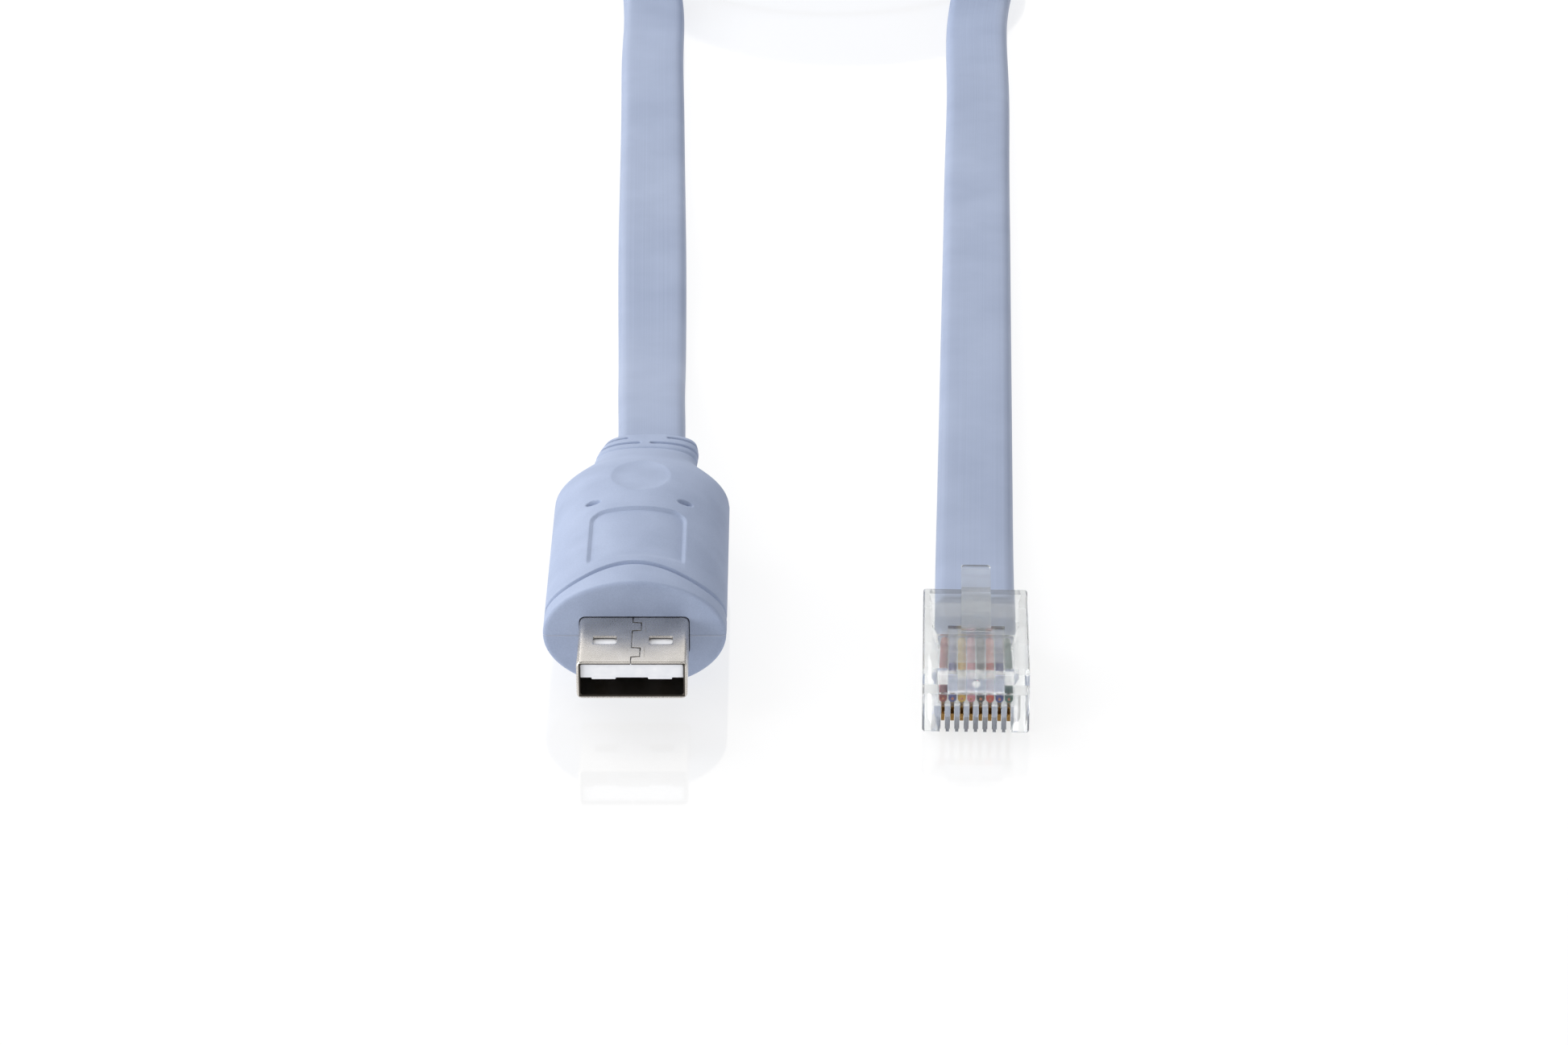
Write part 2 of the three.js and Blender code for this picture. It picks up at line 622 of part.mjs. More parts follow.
// Flat tube along a route of [x, y, z, roll in degrees] points.
function ribbon(points, steps) {
  const route = new THREE.CatmullRomCurve3(points.map(([x, y, z]) => new THREE.Vector3(x, y, z)), false, 'centripetal');
  const rolls = points.map((p) => p[3]);
  const prism = new THREE.ExtrudeGeometry(cableSection(), { depth: 1, steps, bevelEnabled: false });
  const place = prism.attributes.position;
  for (let i = 0; i < place.count; i += 1) {
    const along = place.getZ(i);
    const at = route.getPoint(along);
    const ahead = route.getTangent(along);
    const side = new THREE.Vector3(0, 0, 1).cross(ahead).normalize();
    const up = new THREE.Vector3().crossVectors(ahead, side);
    const spot = along * (points.length - 1);
    const low = Math.min(points.length - 2, Math.floor(spot));
    const part = spot - low;
    const ease = part * part * (3 - 2 * part);
    const roll = THREE.MathUtils.degToRad(rolls[low] + (rolls[low + 1] - rolls[low]) * ease);
    const wide = side.clone().multiplyScalar(Math.cos(roll)).addScaledVector(up, Math.sin(roll));
    const thick = new THREE.Vector3().crossVectors(ahead, wide);
    at.addScaledVector(wide, place.getX(i)).addScaledVector(thick, place.getY(i));
    place.setXYZ(i, at.x, at.y, at.z);
  }
  prism.deleteAttribute('uv');
  prism.computeVertexNormals();
  return prism;
}

// Off the strain relief, down to the floor and over two low humps, then up to the hank's upper layer.
function usbLead() {
  const x = USB_X + NECK_LEAN;
  const start = neckEnd - jacketDepth + GAP;
  const end = HANK_NEAR - GAP;
  const low = CABLE_T / 2 + FLOOR_GAP;
  const top = hankBottom + hankHeight - CABLE_W / 2;
  const lies = (y, z) => [x + USB_DRIFT * (y - neckEnd), y, z, 0];
  const floorY = neckEnd + DROP_LENGTH;
  const points = [
    [x, start, usbAxis, 0],
    [x, neckEnd + 1, usbAxis, 0],
    lies(neckEnd + 0.32 * DROP_LENGTH, usbAxis - 0.16 * (usbAxis - low)),
    lies(neckEnd + 0.67 * DROP_LENGTH, usbAxis - 0.68 * (usbAxis - low)),
  ];
  for (let i = 0; i <= 6; i += 1) {
    const rise = (1 - Math.cos((i / 2) * Math.PI)) / 2;
    points.push(lies(floorY + (i / 4) * HUMP_LENGTH, low + HUMP * rise));
  }
  points.push(
    [...lies(HANK_NEAR - 1.95 * HANK_RADIUS, low + 1.4 * HUMP).slice(0, 3), 4],
    [HANK_LEFT_X + 0.8, HANK_NEAR - 1.45 * HANK_RADIUS, top - 7.4, 24],
    [HANK_LEFT_X + 0.4, HANK_NEAR - 0.87 * HANK_RADIUS, top - 2.2, 64],
    [HANK_LEFT_X, HANK_NEAR - 0.32 * HANK_RADIUS, top, 88],
    [HANK_LEFT_X, end, top, 90],
  );
  let lead = solidOf(ribbon(points, 76));
  jacketCorners().forEach((corner) => {
    lead = lead.subtract(corner);
  });
  return geometryOf(lead);
}

// The crimp squeezes the end of the jacket narrower: one wedge cut off each front corner.
function jacketCorners() {
  const half = CABLE_W / 2;
  return [-1, 1].map((side) => {
    const wedge = new THREE.Shape([
      [side * (half + 1), JACKET_START + JACKET_TAPER], [side * half, JACKET_START + JACKET_TAPER],
      [side * (half - JACKET_TAPER_IN), JACKET_START - 1], [side * (half + 1), JACKET_START - 1],
    ].map(([x, y]) => new THREE.Vector2(x, y)));
    return solidOf(placePlug({ geometry: alongZ(wedge, 0, RJ_H) }).geometry);
  });
}

// Out of the plug, down to the floor and along it, then on edge into the hank's lower layer.
function rjLead() {
  const yaw = THREE.MathUtils.degToRad(-RJ_YAW);
  const inPlug = (y) => [RJ_X + Math.sin(yaw) * y, RJ_Y + Math.cos(yaw) * y, JACKET_Z, 0];
  const right = hankX + HANK_RADIUS;
  const end = HANK_NEAR - GAP;
  const low = CABLE_T / 2 + FLOOR_GAP;
  const z = hankBottom + CABLE_W / 2;
  const lies = (y, height) => [RJ_X + RJ_DRIFT * (y - RJ_Y) - 0.25, y, height, 0];
  const points = [inPlug(JACKET_START), inPlug(RJ_L + 1), lies(RJ_L + 14, low + 1)];
  const from = RJ_L + 31;
  const to = HANK_NEAR - 2 * HANK_RADIUS;
  for (let i = 0; i <= 6; i += 1) {
    points.push(lies(from + (i / 6) * (to - from), low));
  }
  points.push(
    [right - 8.4, HANK_NEAR - 1.48 * HANK_RADIUS, z - 2.6, 20],
    [right - 4.4, HANK_NEAR - HANK_RADIUS, z - 0.8, 52],
    [right - 1.2, HANK_NEAR - 0.58 * HANK_RADIUS, z - 0.1, 78],
    [right, HANK_NEAR - 0.23 * HANK_RADIUS, z, 88],
    [right, end, z, 90],
  );
  let lead = solidOf(ribbon(points, 76));
  jacketCorners().forEach((corner) => {
    lead = lead.subtract(corner);
  });
  return geometryOf(lead);
}

function arc(points, x, y, radius, from, to) {
  for (let i = 0; i <= 16; i += 1) {
    const angle = from + ((to - from) * i) / 16;
    points.push(new THREE.Vector2(x + radius * Math.cos(angle), y + radius * Math.sin(angle)));
  }
}

// Closed racetrack ring. Its two near shoulders face the ends of the leads.
function hank() {
  const far = HANK_NEAR + HANK_STRAIGHT;
  const near = hankOuter - HANK_PITCH;
  const inner = hankOuter - trackSpan;
  const outline = [];
  arc(outline, hankX, far, hankOuter, 0, Math.PI);
  arc(outline, hankX, HANK_NEAR, near, Math.PI, 2 * Math.PI);
  outline.splice(17, 0, new THREE.Vector2(hankX - hankOuter, HANK_NEAR));
  outline.push(new THREE.Vector2(hankX + hankOuter, HANK_NEAR));
  const hole = [];
  arc(hole, hankX, far - 1, inner, 0, Math.PI);
  arc(hole, hankX, HANK_NEAR + 1, inner, Math.PI, 2 * Math.PI);
  const shape = new THREE.Shape(outline);
  shape.holes.push(new THREE.Path(hole.reverse()));
  const ring = new THREE.ExtrudeGeometry(shape, { depth: hankHeight, bevelEnabled: false });
  ring.translate(0, 0, hankBottom);
  return ring;
}

function tie(side) {
  const innerW = trackSpan + 2 * GAP;
  const innerH = hankHeight + 2 * GAP;
  const band = roundedRect(new THREE.Shape(), innerW + 2 * TIE_THICK, innerH + 2 * TIE_THICK, 2 * TIE_THICK);
  band.holes.push(roundedRect(new THREE.Path(), innerW, innerH, TIE_THICK / 4));
  const middle = HANK_NEAR + HANK_STRAIGHT / 2;
  const strap = alongY(band, middle - TIE_LENGTH / 2, middle + TIE_LENGTH / 2);
  strap.translate(hankX + side * (hankOuter - trackSpan / 2), 0, hankBottom + hankHeight / 2);
  return strap;
}

// Puts the origin on the floor, in the middle of the two plugs.
function centreOnPlugs(plugs, all) {
  const box3 = new THREE.Box3();
  plugs.forEach((mesh) => {
    mesh.geometry.computeBoundingBox();
    box3.union(mesh.geometry.boundingBox);
  });
  const middle = box3.getCenter(new THREE.Vector3());
  all.forEach((mesh) => mesh.geometry.translate(-middle.x, -middle.y, -box3.min.z));
}

const plugs = [
  named('usb_overmould', usbOvermould(), softPlastic),
  named('usb_shell', usbShell(), nickel),
  named('usb_tongue', usbTongue(), whitePlastic),
  ...usbContacts(),
  ...modularPlug(),
];
const cord = [
  named('cable_usb_lead', usbLead(), jacketPlastic),
  named('cable_rj45_lead', rjLead(), jacketPlastic),
  named('cable_hank', hank(), jacketPlastic),
  named('cable_tie_left', tie(-1), tieFabric),
  named('cable_tie_right', tie(1), tieFabric),
];
centreOnPlugs(plugs, [...plugs, ...cord]);

const group = new THREE.Group();
group.name = 'console_cable';
[...plugs, ...cord].forEach((mesh) => group.add(mesh));

export default group;
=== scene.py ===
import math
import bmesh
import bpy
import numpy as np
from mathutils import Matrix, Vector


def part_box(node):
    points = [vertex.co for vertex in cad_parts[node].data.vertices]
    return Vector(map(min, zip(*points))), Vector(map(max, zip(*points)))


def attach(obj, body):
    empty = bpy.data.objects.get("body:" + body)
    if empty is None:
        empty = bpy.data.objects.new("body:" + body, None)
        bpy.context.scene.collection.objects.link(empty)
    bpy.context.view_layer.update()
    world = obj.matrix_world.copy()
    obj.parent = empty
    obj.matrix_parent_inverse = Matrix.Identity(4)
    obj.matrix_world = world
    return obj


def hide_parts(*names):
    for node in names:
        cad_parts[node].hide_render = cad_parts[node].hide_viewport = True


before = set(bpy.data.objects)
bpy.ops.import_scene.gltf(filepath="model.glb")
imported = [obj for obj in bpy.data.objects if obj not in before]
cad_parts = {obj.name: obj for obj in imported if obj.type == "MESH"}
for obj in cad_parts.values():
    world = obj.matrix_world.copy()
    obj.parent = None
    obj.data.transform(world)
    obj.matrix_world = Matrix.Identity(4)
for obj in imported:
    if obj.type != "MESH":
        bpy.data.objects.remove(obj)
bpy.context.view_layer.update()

# %% [markdown]
# # A console cable, from its solids to a picture
# The object is one flat pale blue cable with a USB plug at one end and a clear
# modular plug at the other. The CAD solids are loaded above and stay where they
# are. Every new surface here is a formula on whole numpy arrays, so that a reader
# can see how a moulding, a folded shell or a flat cable follows from its sizes.

# %% [markdown]
# ## One set of sizes
# All drawing sizes are in millimetres, measured from the front of the USB shell
# and from the floor. The CAD model has its origin between the two plugs, so one
# shift, read from the shell's own box, takes drawing sizes to the frame.

# %% Sizes and the shift to the frame
USB_X = -16.45
shell_low, shell_high = (np.array(corner) * 1000 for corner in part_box("usb_shell"))
SHIFT = np.array([(shell_low[0] + shell_high[0]) / 2 - USB_X, shell_low[1], 0.0])


def in_frame(points):
    """Drawing millimetres to frame metres: add the shift, divide by 1000."""
    return (np.asarray(points, float) + SHIFT) / 1000


AXIS_Z = 6.55
CABLE_W, CABLE_T = 9.0, 2.5
NECK_START, NECK_END, NECK_LEAN = 54.8, 60.2, 0.65
RJ_X, RJ_Y, RJ_TURN, RJ_L = 20.81, 0.4, math.radians(1.7), 21.46
JACKET_START, JACKET_Z, WIRE_Z, WIRE_PITCH = 11.8, 3.3, 3.83, 1.02
print("shift of the drawing, mm:", SHIFT.round(3))

# %% [markdown]
# ## The camera
# The photograph looks down at about 26 degrees from half a metre away, through a
# long lens. A long lens keeps the two plugs nearly the same size, and that is why
# the camera is far off and its view narrow.

# %% Camera
camera = bpy.data.objects.new("camera", bpy.data.cameras.new("camera"))
bpy.context.scene.collection.objects.link(camera)
EYE_BACK, EYE_HIGH, LOOK_DOWN = 463, 249, 25.77
SENSOR, FOCAL_PX, PHOTO_PX = 36, 6000, 1946
camera.location = in_frame([0, -EYE_BACK, EYE_HIGH])
camera.rotation_euler = (math.radians(90 - LOOK_DOWN), 0, 0)
camera.data.sensor_width = SENSOR
camera.data.lens = SENSOR * FOCAL_PX / PHOTO_PX
camera.data.clip_end = 20
bpy.context.scene.camera = camera
print("camera at", tuple(round(v, 4) for v in camera.location))

# %% [markdown]
# ## Turning arrays into pieces
# A surface on a grid has rows and columns of points. Each cell of the grid is one
# four-sided face, and a grid that goes all round joins its last column to its
# first. These helpers make every piece below.

# %% Mesh helpers
def grid_faces(rows, cols, wrap=True):
    """Cell (i, j) joins points (i, j), (i+1, j), (i+1, j+1), (i, j+1); j wraps if asked."""
    i, j = np.meshgrid(np.arange(rows - 1), np.arange(cols if wrap else cols - 1), indexing="ij")
    k = (j + 1) % cols
    return np.stack([i * cols + j, (i + 1) * cols + j, (i + 1) * cols + k, i * cols + k], -1).reshape(-1, 4)


def piece_of(name, points, faces, uv=None, caps=(), flip=False):
    """Points in drawing millimetres, faces as an index array, caps as extra rings of indices."""
    mesh = bpy.data.meshes.new(name)
    loops = [list(map(int, ring)) for ring in caps]
    whole = faces.tolist() + loops
    if flip:
        whole = [ring[::-1] for ring in whole]
    mesh.from_pydata(in_frame(points).tolist(), [], whole)
    mesh.polygons.foreach_set("use_smooth", np.ones(len(whole), bool))
    if uv is not None:
        layer = mesh.uv_layers.new(name="UVMap")
        corner = np.empty(len(mesh.loops), np.int32)
        mesh.loops.foreach_get("vertex_index", corner)
        layer.data.foreach_set("uv", uv[corner].astype(np.float32).ravel())
    mesh.update()
    made = bpy.data.objects.new(name, mesh)
    bpy.context.scene.collection.objects.link(made)
    return made

def tube_of(name, grid, uv=None, flip=False):
    """Piece from rings of points, with one face over its first ring and one over its last."""
    rows, cols = grid.shape[:2]
    ends = [np.arange(cols), np.arange((rows - 1) * cols, rows * cols)[::-1]]
    return piece_of(name, grid.reshape(-1, 3), grid_faces(rows, cols), uv, ends, flip)


def step(low, high, x):
    """Smooth step from 0 at low to 1 at high: 3t^2 - 2t^3 of the clamped share t."""
    t = np.clip((x - low) / (high - low), 0, 1)
    return t * t * (3 - 2 * t)


# %% [markdown]
# ## The cable's route
# A flat cable bends easily across its thin side and hardly at all across its wide
# side. So it lies flat from each plug to the slack, turns a quarter on edge there,
# and its slack is folded into a racetrack of three and a half turns in two layers.
# The route is one smooth line, and a roll angle along it says how far the cable
# has turned on edge.

# %% Route of the cable
HANK_R, HANK_RUN, HANK_NEAR, HANK_PITCH, HANK_LEFT = 31.0, 85.0, 288.0, 3.3, -22.0
HANK_X = HANK_LEFT + HANK_R
HANK_FLOOR, LAYER_GAP = 1.1, 0.3
HANK_LOW = HANK_FLOOR + CABLE_W / 2
HANK_TOP = HANK_FLOOR + 2 * CABLE_W + LAYER_GAP - CABLE_W / 2
LOW = CABLE_T / 2 + 0.05


def smooth_line(knots, spacing):
    """Natural cubic spline through the knots over their chord length, sampled evenly."""
    knots = np.asarray(knots, float)
    s = np.r_[0, np.cumsum(np.linalg.norm(np.diff(knots[:, :3], axis=0), axis=1))]
    h = np.diff(s)
    n = len(s)
    system = np.zeros((n, n))
    right = np.zeros((n, knots.shape[1]))
    system[0, 0] = system[-1, -1] = 1
    inner = np.arange(1, n - 1)
    system[inner, inner - 1] = h[:-1]
    system[inner, inner] = 2 * (h[:-1] + h[1:])
    system[inner, inner + 1] = h[1:]
    slopes = np.diff(knots, axis=0) / h[:, None]
    right[1:-1] = 6 * np.diff(slopes, axis=0)
    bend = np.linalg.solve(system, right)
    at = np.linspace(0, s[-1], int(s[-1] / spacing) + 1)
    i = np.clip(np.searchsorted(s, at, side="right") - 1, 0, n - 2)
    a = ((s[i + 1] - at) / h[i])[:, None]
    b = 1 - a
    h2 = (h[i] ** 2)[:, None] / 6
    return a * knots[i] + b * knots[i + 1] + ((a**3 - a) * bend[i] + (b**3 - b) * bend[i + 1]) * h2


def usb_lead_knots():
    """Off the strain relief, down to the floor, over low humps, then up to the upper layer."""
    x, hump, hump_length, drop = USB_X + NECK_LEAN, 1.5, 68, 42
    start = NECK_END - 4.1
    drift = lambda y: x - 0.0237 * (y - NECK_END)
    knots = [(x, start, AXIS_Z, 0), (x, NECK_END + 1, AXIS_Z, 0)]
    for share, fall in ((0.32, 0.16), (0.67, 0.68)):
        y = NECK_END + share * drop
        knots.append((drift(y), y, AXIS_Z - fall * (AXIS_Z - LOW), 0))
    for i in range(7):
        y = NECK_END + drop + i / 4 * hump_length
        knots.append((drift(y), y, LOW + hump * (1 - math.cos(i / 2 * math.pi)) / 2, 0))
    y = HANK_NEAR - 1.95 * HANK_R
    knots.append((drift(y), y, LOW + 1.4 * hump, 4))
    climb = ((0.8, 1.45, -7.4, 24), (0.4, 0.87, -2.2, 64), (0, 0.32, 0, 88), (0, 0.01, 0, 90))
    for dx, back, dz, roll in climb:
        knots.append((HANK_LEFT + dx, HANK_NEAR - back * HANK_R, HANK_TOP + dz, roll))
    return knots


RJ_X, RJ_Y, RJ_TURN, RJ_L = 20.81, 0.4, math.radians(1.7), 21.46


def rj_lead_knots():
    """Out of the clear plug, down to the floor and along it, then on edge into the lower layer."""
    in_plug = lambda y: (RJ_X + math.sin(RJ_TURN) * y, RJ_Y + math.cos(RJ_TURN) * y, JACKET_Z, 0)
    lies = lambda y, z: (RJ_X + 0.0385 * (y - RJ_Y) - 0.25, y, z, 0)
    knots = [in_plug(JACKET_START), in_plug(RJ_L + 1), lies(RJ_L + 14, LOW + 1)]
    knots += [lies(y, LOW) for y in np.linspace(RJ_L + 31, HANK_NEAR - 2 * HANK_R, 7)]
    right = HANK_X + HANK_R
    climb = (
        (8.4, 1.48, -2.6, 20), (4.4, 1, -0.8, 52), (1.2, 0.58, -0.1, 78), (0, 0.23, 0, 88), (0, 0.01, 0, 90),
    )
    for dx, back, dz, roll in climb:
        knots.append((right - dx, HANK_NEAR - back * HANK_R, HANK_LOW + dz, roll))
    return knots


def hank_line(spacing):
    """Racetrack: straight runs and half circles whose radius shrinks by whole and half pitches."""
    far = HANK_NEAR + HANK_RUN
    tracks = [0, 0.5, 1, 1.5, 2, 1, 0.5, 0]
    parts = []
    for i, track in enumerate(tracks):
        left = i % 2 == 0
        radius = HANK_R - HANK_PITCH * track
        count = int(HANK_RUN / spacing)
        t = np.linspace(0, 1, count, endpoint=False)
        y = HANK_NEAR + HANK_RUN * (t if left else 1 - t)
        x = np.full(count, HANK_X - radius if left else HANK_X + radius)
        fall = step(0, 1, t) if i == 4 else np.full(count, float(i > 4))
        parts.append(np.stack([x, y, HANK_TOP + (HANK_LOW - HANK_TOP) * fall], 1))
        if i == len(tracks) - 1:
            break
        count = int(math.pi * radius / spacing)
        t = np.linspace(0, 1, count, endpoint=False)
        bend = HANK_R - HANK_PITCH * (track + (tracks[i + 1] - track) * step(0, 1, t))
        angle = math.pi * (1 - t) if left else -math.pi * t
        centre = far if left else HANK_NEAR
        z = np.full(count, HANK_LOW if i >= 4 else HANK_TOP)
        parts.append(np.stack([HANK_X + bend * np.cos(angle), centre + bend * np.sin(angle), z], 1))
    return np.concatenate(parts)


first = smooth_line(usb_lead_knots(), 1.4)
slack = hank_line(1.6)
last = smooth_line(rj_lead_knots(), 1.4)[::-1]
route = np.concatenate([first[:, :3], slack, last[:, :3]])
roll = np.radians(np.concatenate([first[:, 3], np.full(len(slack), 90.0), 180 - last[:, 3]]))
high = np.abs(np.sin(roll)) * (CABLE_W - CABLE_T) / 2 + CABLE_T / 2 + 0.03
route[:, 2] = np.maximum(route[:, 2], high)
run = np.r_[0, np.cumsum(np.linalg.norm(np.diff(route, axis=0), axis=1))]
print("cable length, mm:", round(run[-1], 1), "of which slack", round(HANK_RUN * 8, 1), "straight")

# %% [markdown]
# ## The cable's skin
# The section is flat with fully round edges. It is carried along the route: at
# each point one direction runs across the cable, turned by the roll, and one runs
# through its thickness. Where the soft strain relief grips the cable it is pinched
# a little narrower, and so is its end that the modular plug crimps.

# %% Section and cable
def cable_section(per_edge=9, per_flat=7):
    """Half circles of radius t/2 at both edges, joined by nearly flat faces 0.04 mm proud in the middle."""
    flat = (CABLE_W - CABLE_T) / 2
    turn = np.linspace(-math.pi / 2, math.pi / 2, per_edge)
    edge = np.stack([flat + CABLE_T / 2 * np.cos(turn), CABLE_T / 2 * np.sin(turn)], 1)
    across = np.linspace(flat, -flat, per_flat + 2)[1:-1]
    top = np.stack([across, CABLE_T / 2 + 0.04 * (1 - (across / flat) ** 2)], 1)
    return np.concatenate([edge, top, -edge, -top])


def carry(section, line, turn, widths):
    """Point = line + across * section x * width + through * section y."""
    along = np.gradient(line, axis=0)
    along /= np.linalg.norm(along, axis=1, keepdims=True)
    side = np.cross([0, 0, 1], along)
    side /= np.linalg.norm(side, axis=1, keepdims=True)
    up = np.cross(along, side)
    across = side * np.cos(turn)[:, None] + up * np.sin(turn)[:, None]
    through = np.cross(along, across)
    grid = line[:, None] + across[:, None] * (section[None, :, :1] * widths[:, None, None])
    return grid + through[:, None] * section[None, :, 1:]


section = cable_section()
PINCH, PINCH_FADE, CRIMP_FADE = 0.11, 75, 3.2
pinched = 1 - PINCH * (1 - step(NECK_END - 4, NECK_END + PINCH_FADE, first[:, 1]))
widths = np.r_[pinched, np.ones(len(route) - len(first))]
widths -= PINCH * (1 - step(0, CRIMP_FADE, run[-1] - run))
skin = carry(section, route, roll, widths)
rows, cols = skin.shape[:2]
round_share = np.linspace(0, 1, cols, endpoint=False)
uv = np.stack(np.broadcast_arrays(run[:, None] / 1000, round_share[None]), -1).reshape(-1, 2)
cable = tube_of("flat_cable", skin, uv, flip=True)
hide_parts("cable_usb_lead", "cable_hank", "cable_rj45_lead")
print("cable:", rows, "rings of", cols)

# %% [markdown]
# ## Bands round the slack
# A woven band is wrapped once round each side of the racetrack and laps over
# itself on the inner side. It is a thin strip on a rounded rectangle, and where it
# laps it stands its own thickness further out.

# %% Bands
TRACK_SPAN = 2 * HANK_PITCH + CABLE_T


def rounded_loop(w, h, r, count):
    """Evenly spaced points on a rounded rectangle, from the middle of its right side, anticlockwise."""
    quarter = np.linspace(0, math.pi / 2, 8)
    u, v = w / 2 - r, h / 2 - r
    corners = [(u, v, 0), (-u, v, 1), (-u, -v, 2), (u, -v, 3)]
    dense = [[w / 2, 0]]
    for x, y, q in corners:
        a = quarter + q * math.pi / 2
        dense += np.stack([x + r * np.cos(a), y + r * np.sin(a)], 1).tolist()
    dense = np.array(dense + [[w / 2, 0]])
    s = np.r_[0, np.cumsum(np.linalg.norm(np.diff(dense, axis=0), axis=1))]
    at = np.linspace(0, s[-1], count, endpoint=False)
    return np.stack([np.interp(at, s, dense[:, k]) for k in (0, 1)], 1)


def band(name, side):
    """Strip section (thickness by length) swept once and a quarter round the bundle."""
    thick, length, count = 0.72, 10.0, 120
    w, h = TRACK_SPAN + 0.6 + thick, 2 * CABLE_W + 0.9 + thick
    loop = rounded_loop(w, h, 1.6, count)
    loop[:, 0] *= -side
    turns = np.arange(int(1.22 * count))
    line = loop[turns % count]
    ahead = loop[(turns + 1) % count] - loop[(turns - 1) % count]
    out = np.stack([ahead[:, 1], -ahead[:, 0]], 1) * -side
    out /= np.linalg.norm(out, axis=1, keepdims=True)
    lap = step(count * 0.93, count * 1.02, turns)
    line = line + out * (lap * (thick + 0.06))[:, None]
    middle_x = HANK_X + side * (HANK_R + CABLE_T / 2 - TRACK_SPAN / 2)
    middle_z = HANK_FLOOR + CABLE_W + LAYER_GAP / 2
    r = thick / 2
    turn = np.linspace(-math.pi / 2, math.pi / 2, 5)
    half = np.stack([length / 2 - r + r * np.cos(turn), r * np.sin(turn)], 1)
    profile = np.concatenate([half, -half])
    y = HANK_NEAR + HANK_RUN / 2 + profile[None, :, 0]
    x = middle_x + line[:, None, 0] + out[:, None, 0] * profile[None, :, 1]
    z = middle_z + line[:, None, 1] + out[:, None, 1] * profile[None, :, 1]
    return tube_of(name, np.stack(np.broadcast_arrays(x, y, z), -1), flip=side < 0)


bands = [band("band_left", -1), band("band_right", 1)]
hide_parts("cable_tie_left")
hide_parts("cable_tie_right")
print("bands made")

# %% [markdown]
# ## Shader maths in plain expressions
# A finish is a small program of nodes. Wrapping a socket in a class lets that
# program be written as ordinary arithmetic, and one method adds any other node.
# Object coordinates are in metres, so a scale of 1000 turns them into millimetres.

# %% Socket class and finishes
MM = (1000, 1000, 1000)

class Sock:
    """An output socket. Arithmetic on it adds Math nodes and gives the result's socket."""

    def __init__(self, finish, socket):
        self.finish, self.socket = finish, socket

    def _math(self, operation, *values, clamp=False):
        return self.finish.node("ShaderNodeMath", dict(operation=operation, use_clamp=clamp), *values)

    def __add__(self, other): return self._math("ADD", self, other)
    def __radd__(self, other): return self._math("ADD", other, self)
    def __sub__(self, other): return self._math("SUBTRACT", self, other)
    def __rsub__(self, other): return self._math("SUBTRACT", other, self)
    def __mul__(self, other): return self._math("MULTIPLY", self, other)
    def __rmul__(self, other): return self._math("MULTIPLY", other, self)
    def clamped(self): return self._math("ADD", self, 0.0, clamp=True)
    def size(self): return self._math("ABSOLUTE", self)
    def least(self, other): return self._math("MINIMUM", self, other)
    def above(self, low, high): return self._math("DIVIDE", self - low, high - low, clamp=True)


class Finish:
    """A material with one Principled shader, and the nodes that feed it."""

    def __init__(self, name, **constants):
        self.material = bpy.data.materials.new(name)
        self.material.use_nodes = True
        self.tree = self.material.node_tree
        self.shader = self.tree.nodes["Principled BSDF"]
        for key, value in constants.items():
            self.shader.inputs[key.replace("_", " ")].default_value = value

    def node(self, kind, settings=None, *values, out=0, **named):
        made = self.tree.nodes.new(kind)
        for key, value in (settings or {}).items():
            setattr(made, key, value)
        pairs = list(enumerate(values)) + [(key.replace("_", " "), value) for key, value in named.items()]
        for key, value in pairs:
            if isinstance(value, Sock):
                self.tree.links.new(value.socket, made.inputs[key])
            else:
                made.inputs[key].default_value = value
        return Sock(self, made.outputs[out])

    def place(self, scale, kind="Object"):
        source = self.tree.nodes.new("ShaderNodeTexCoord")
        coordinate = Sock(self, source.outputs[kind])
        return self.node("ShaderNodeMapping", None, Vector=coordinate, Scale=scale)

    def noise(self, where, scale, detail=2.0, roughness=0.5):
        return self.node(
            "ShaderNodeTexNoise", None, Vector=where, Scale=scale, Detail=detail, Roughness=roughness,
        )

    def mix(self, share, one, other):
        made = self.tree.nodes.new("ShaderNodeMix")
        made.data_type = "RGBA"
        for index, value in ((0, share), (6, one), (7, other)):
            if isinstance(value, Sock):
                self.tree.links.new(value.socket, made.inputs[index])
            else:
                made.inputs[index].default_value = value
        return Sock(self, made.outputs[2])

    def bump(self, height, strength, distance, under=None):
        extra = {} if under is None else {"Normal": under}
        return self.node(
            "ShaderNodeBump", None, Strength=strength, Distance=distance, Height=height, **extra,
        )

    def feed(self, name, value):
        self.tree.links.new(value.socket, self.shader.inputs[name])


def colour(r, g, b):
    """Screen colour 0 to 255 to scene-linear, by the sRGB curve."""
    v = np.array([r, g, b]) / 255
    linear = np.where(v <= 0.04045, v / 12.92, ((v + 0.055) / 1.055) ** 2.4)
    return (*linear.tolist(), 1.0)


def dress(made, finish):
    made.data.materials.clear()
    made.data.materials.append(finish.material)
    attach(made, "root")
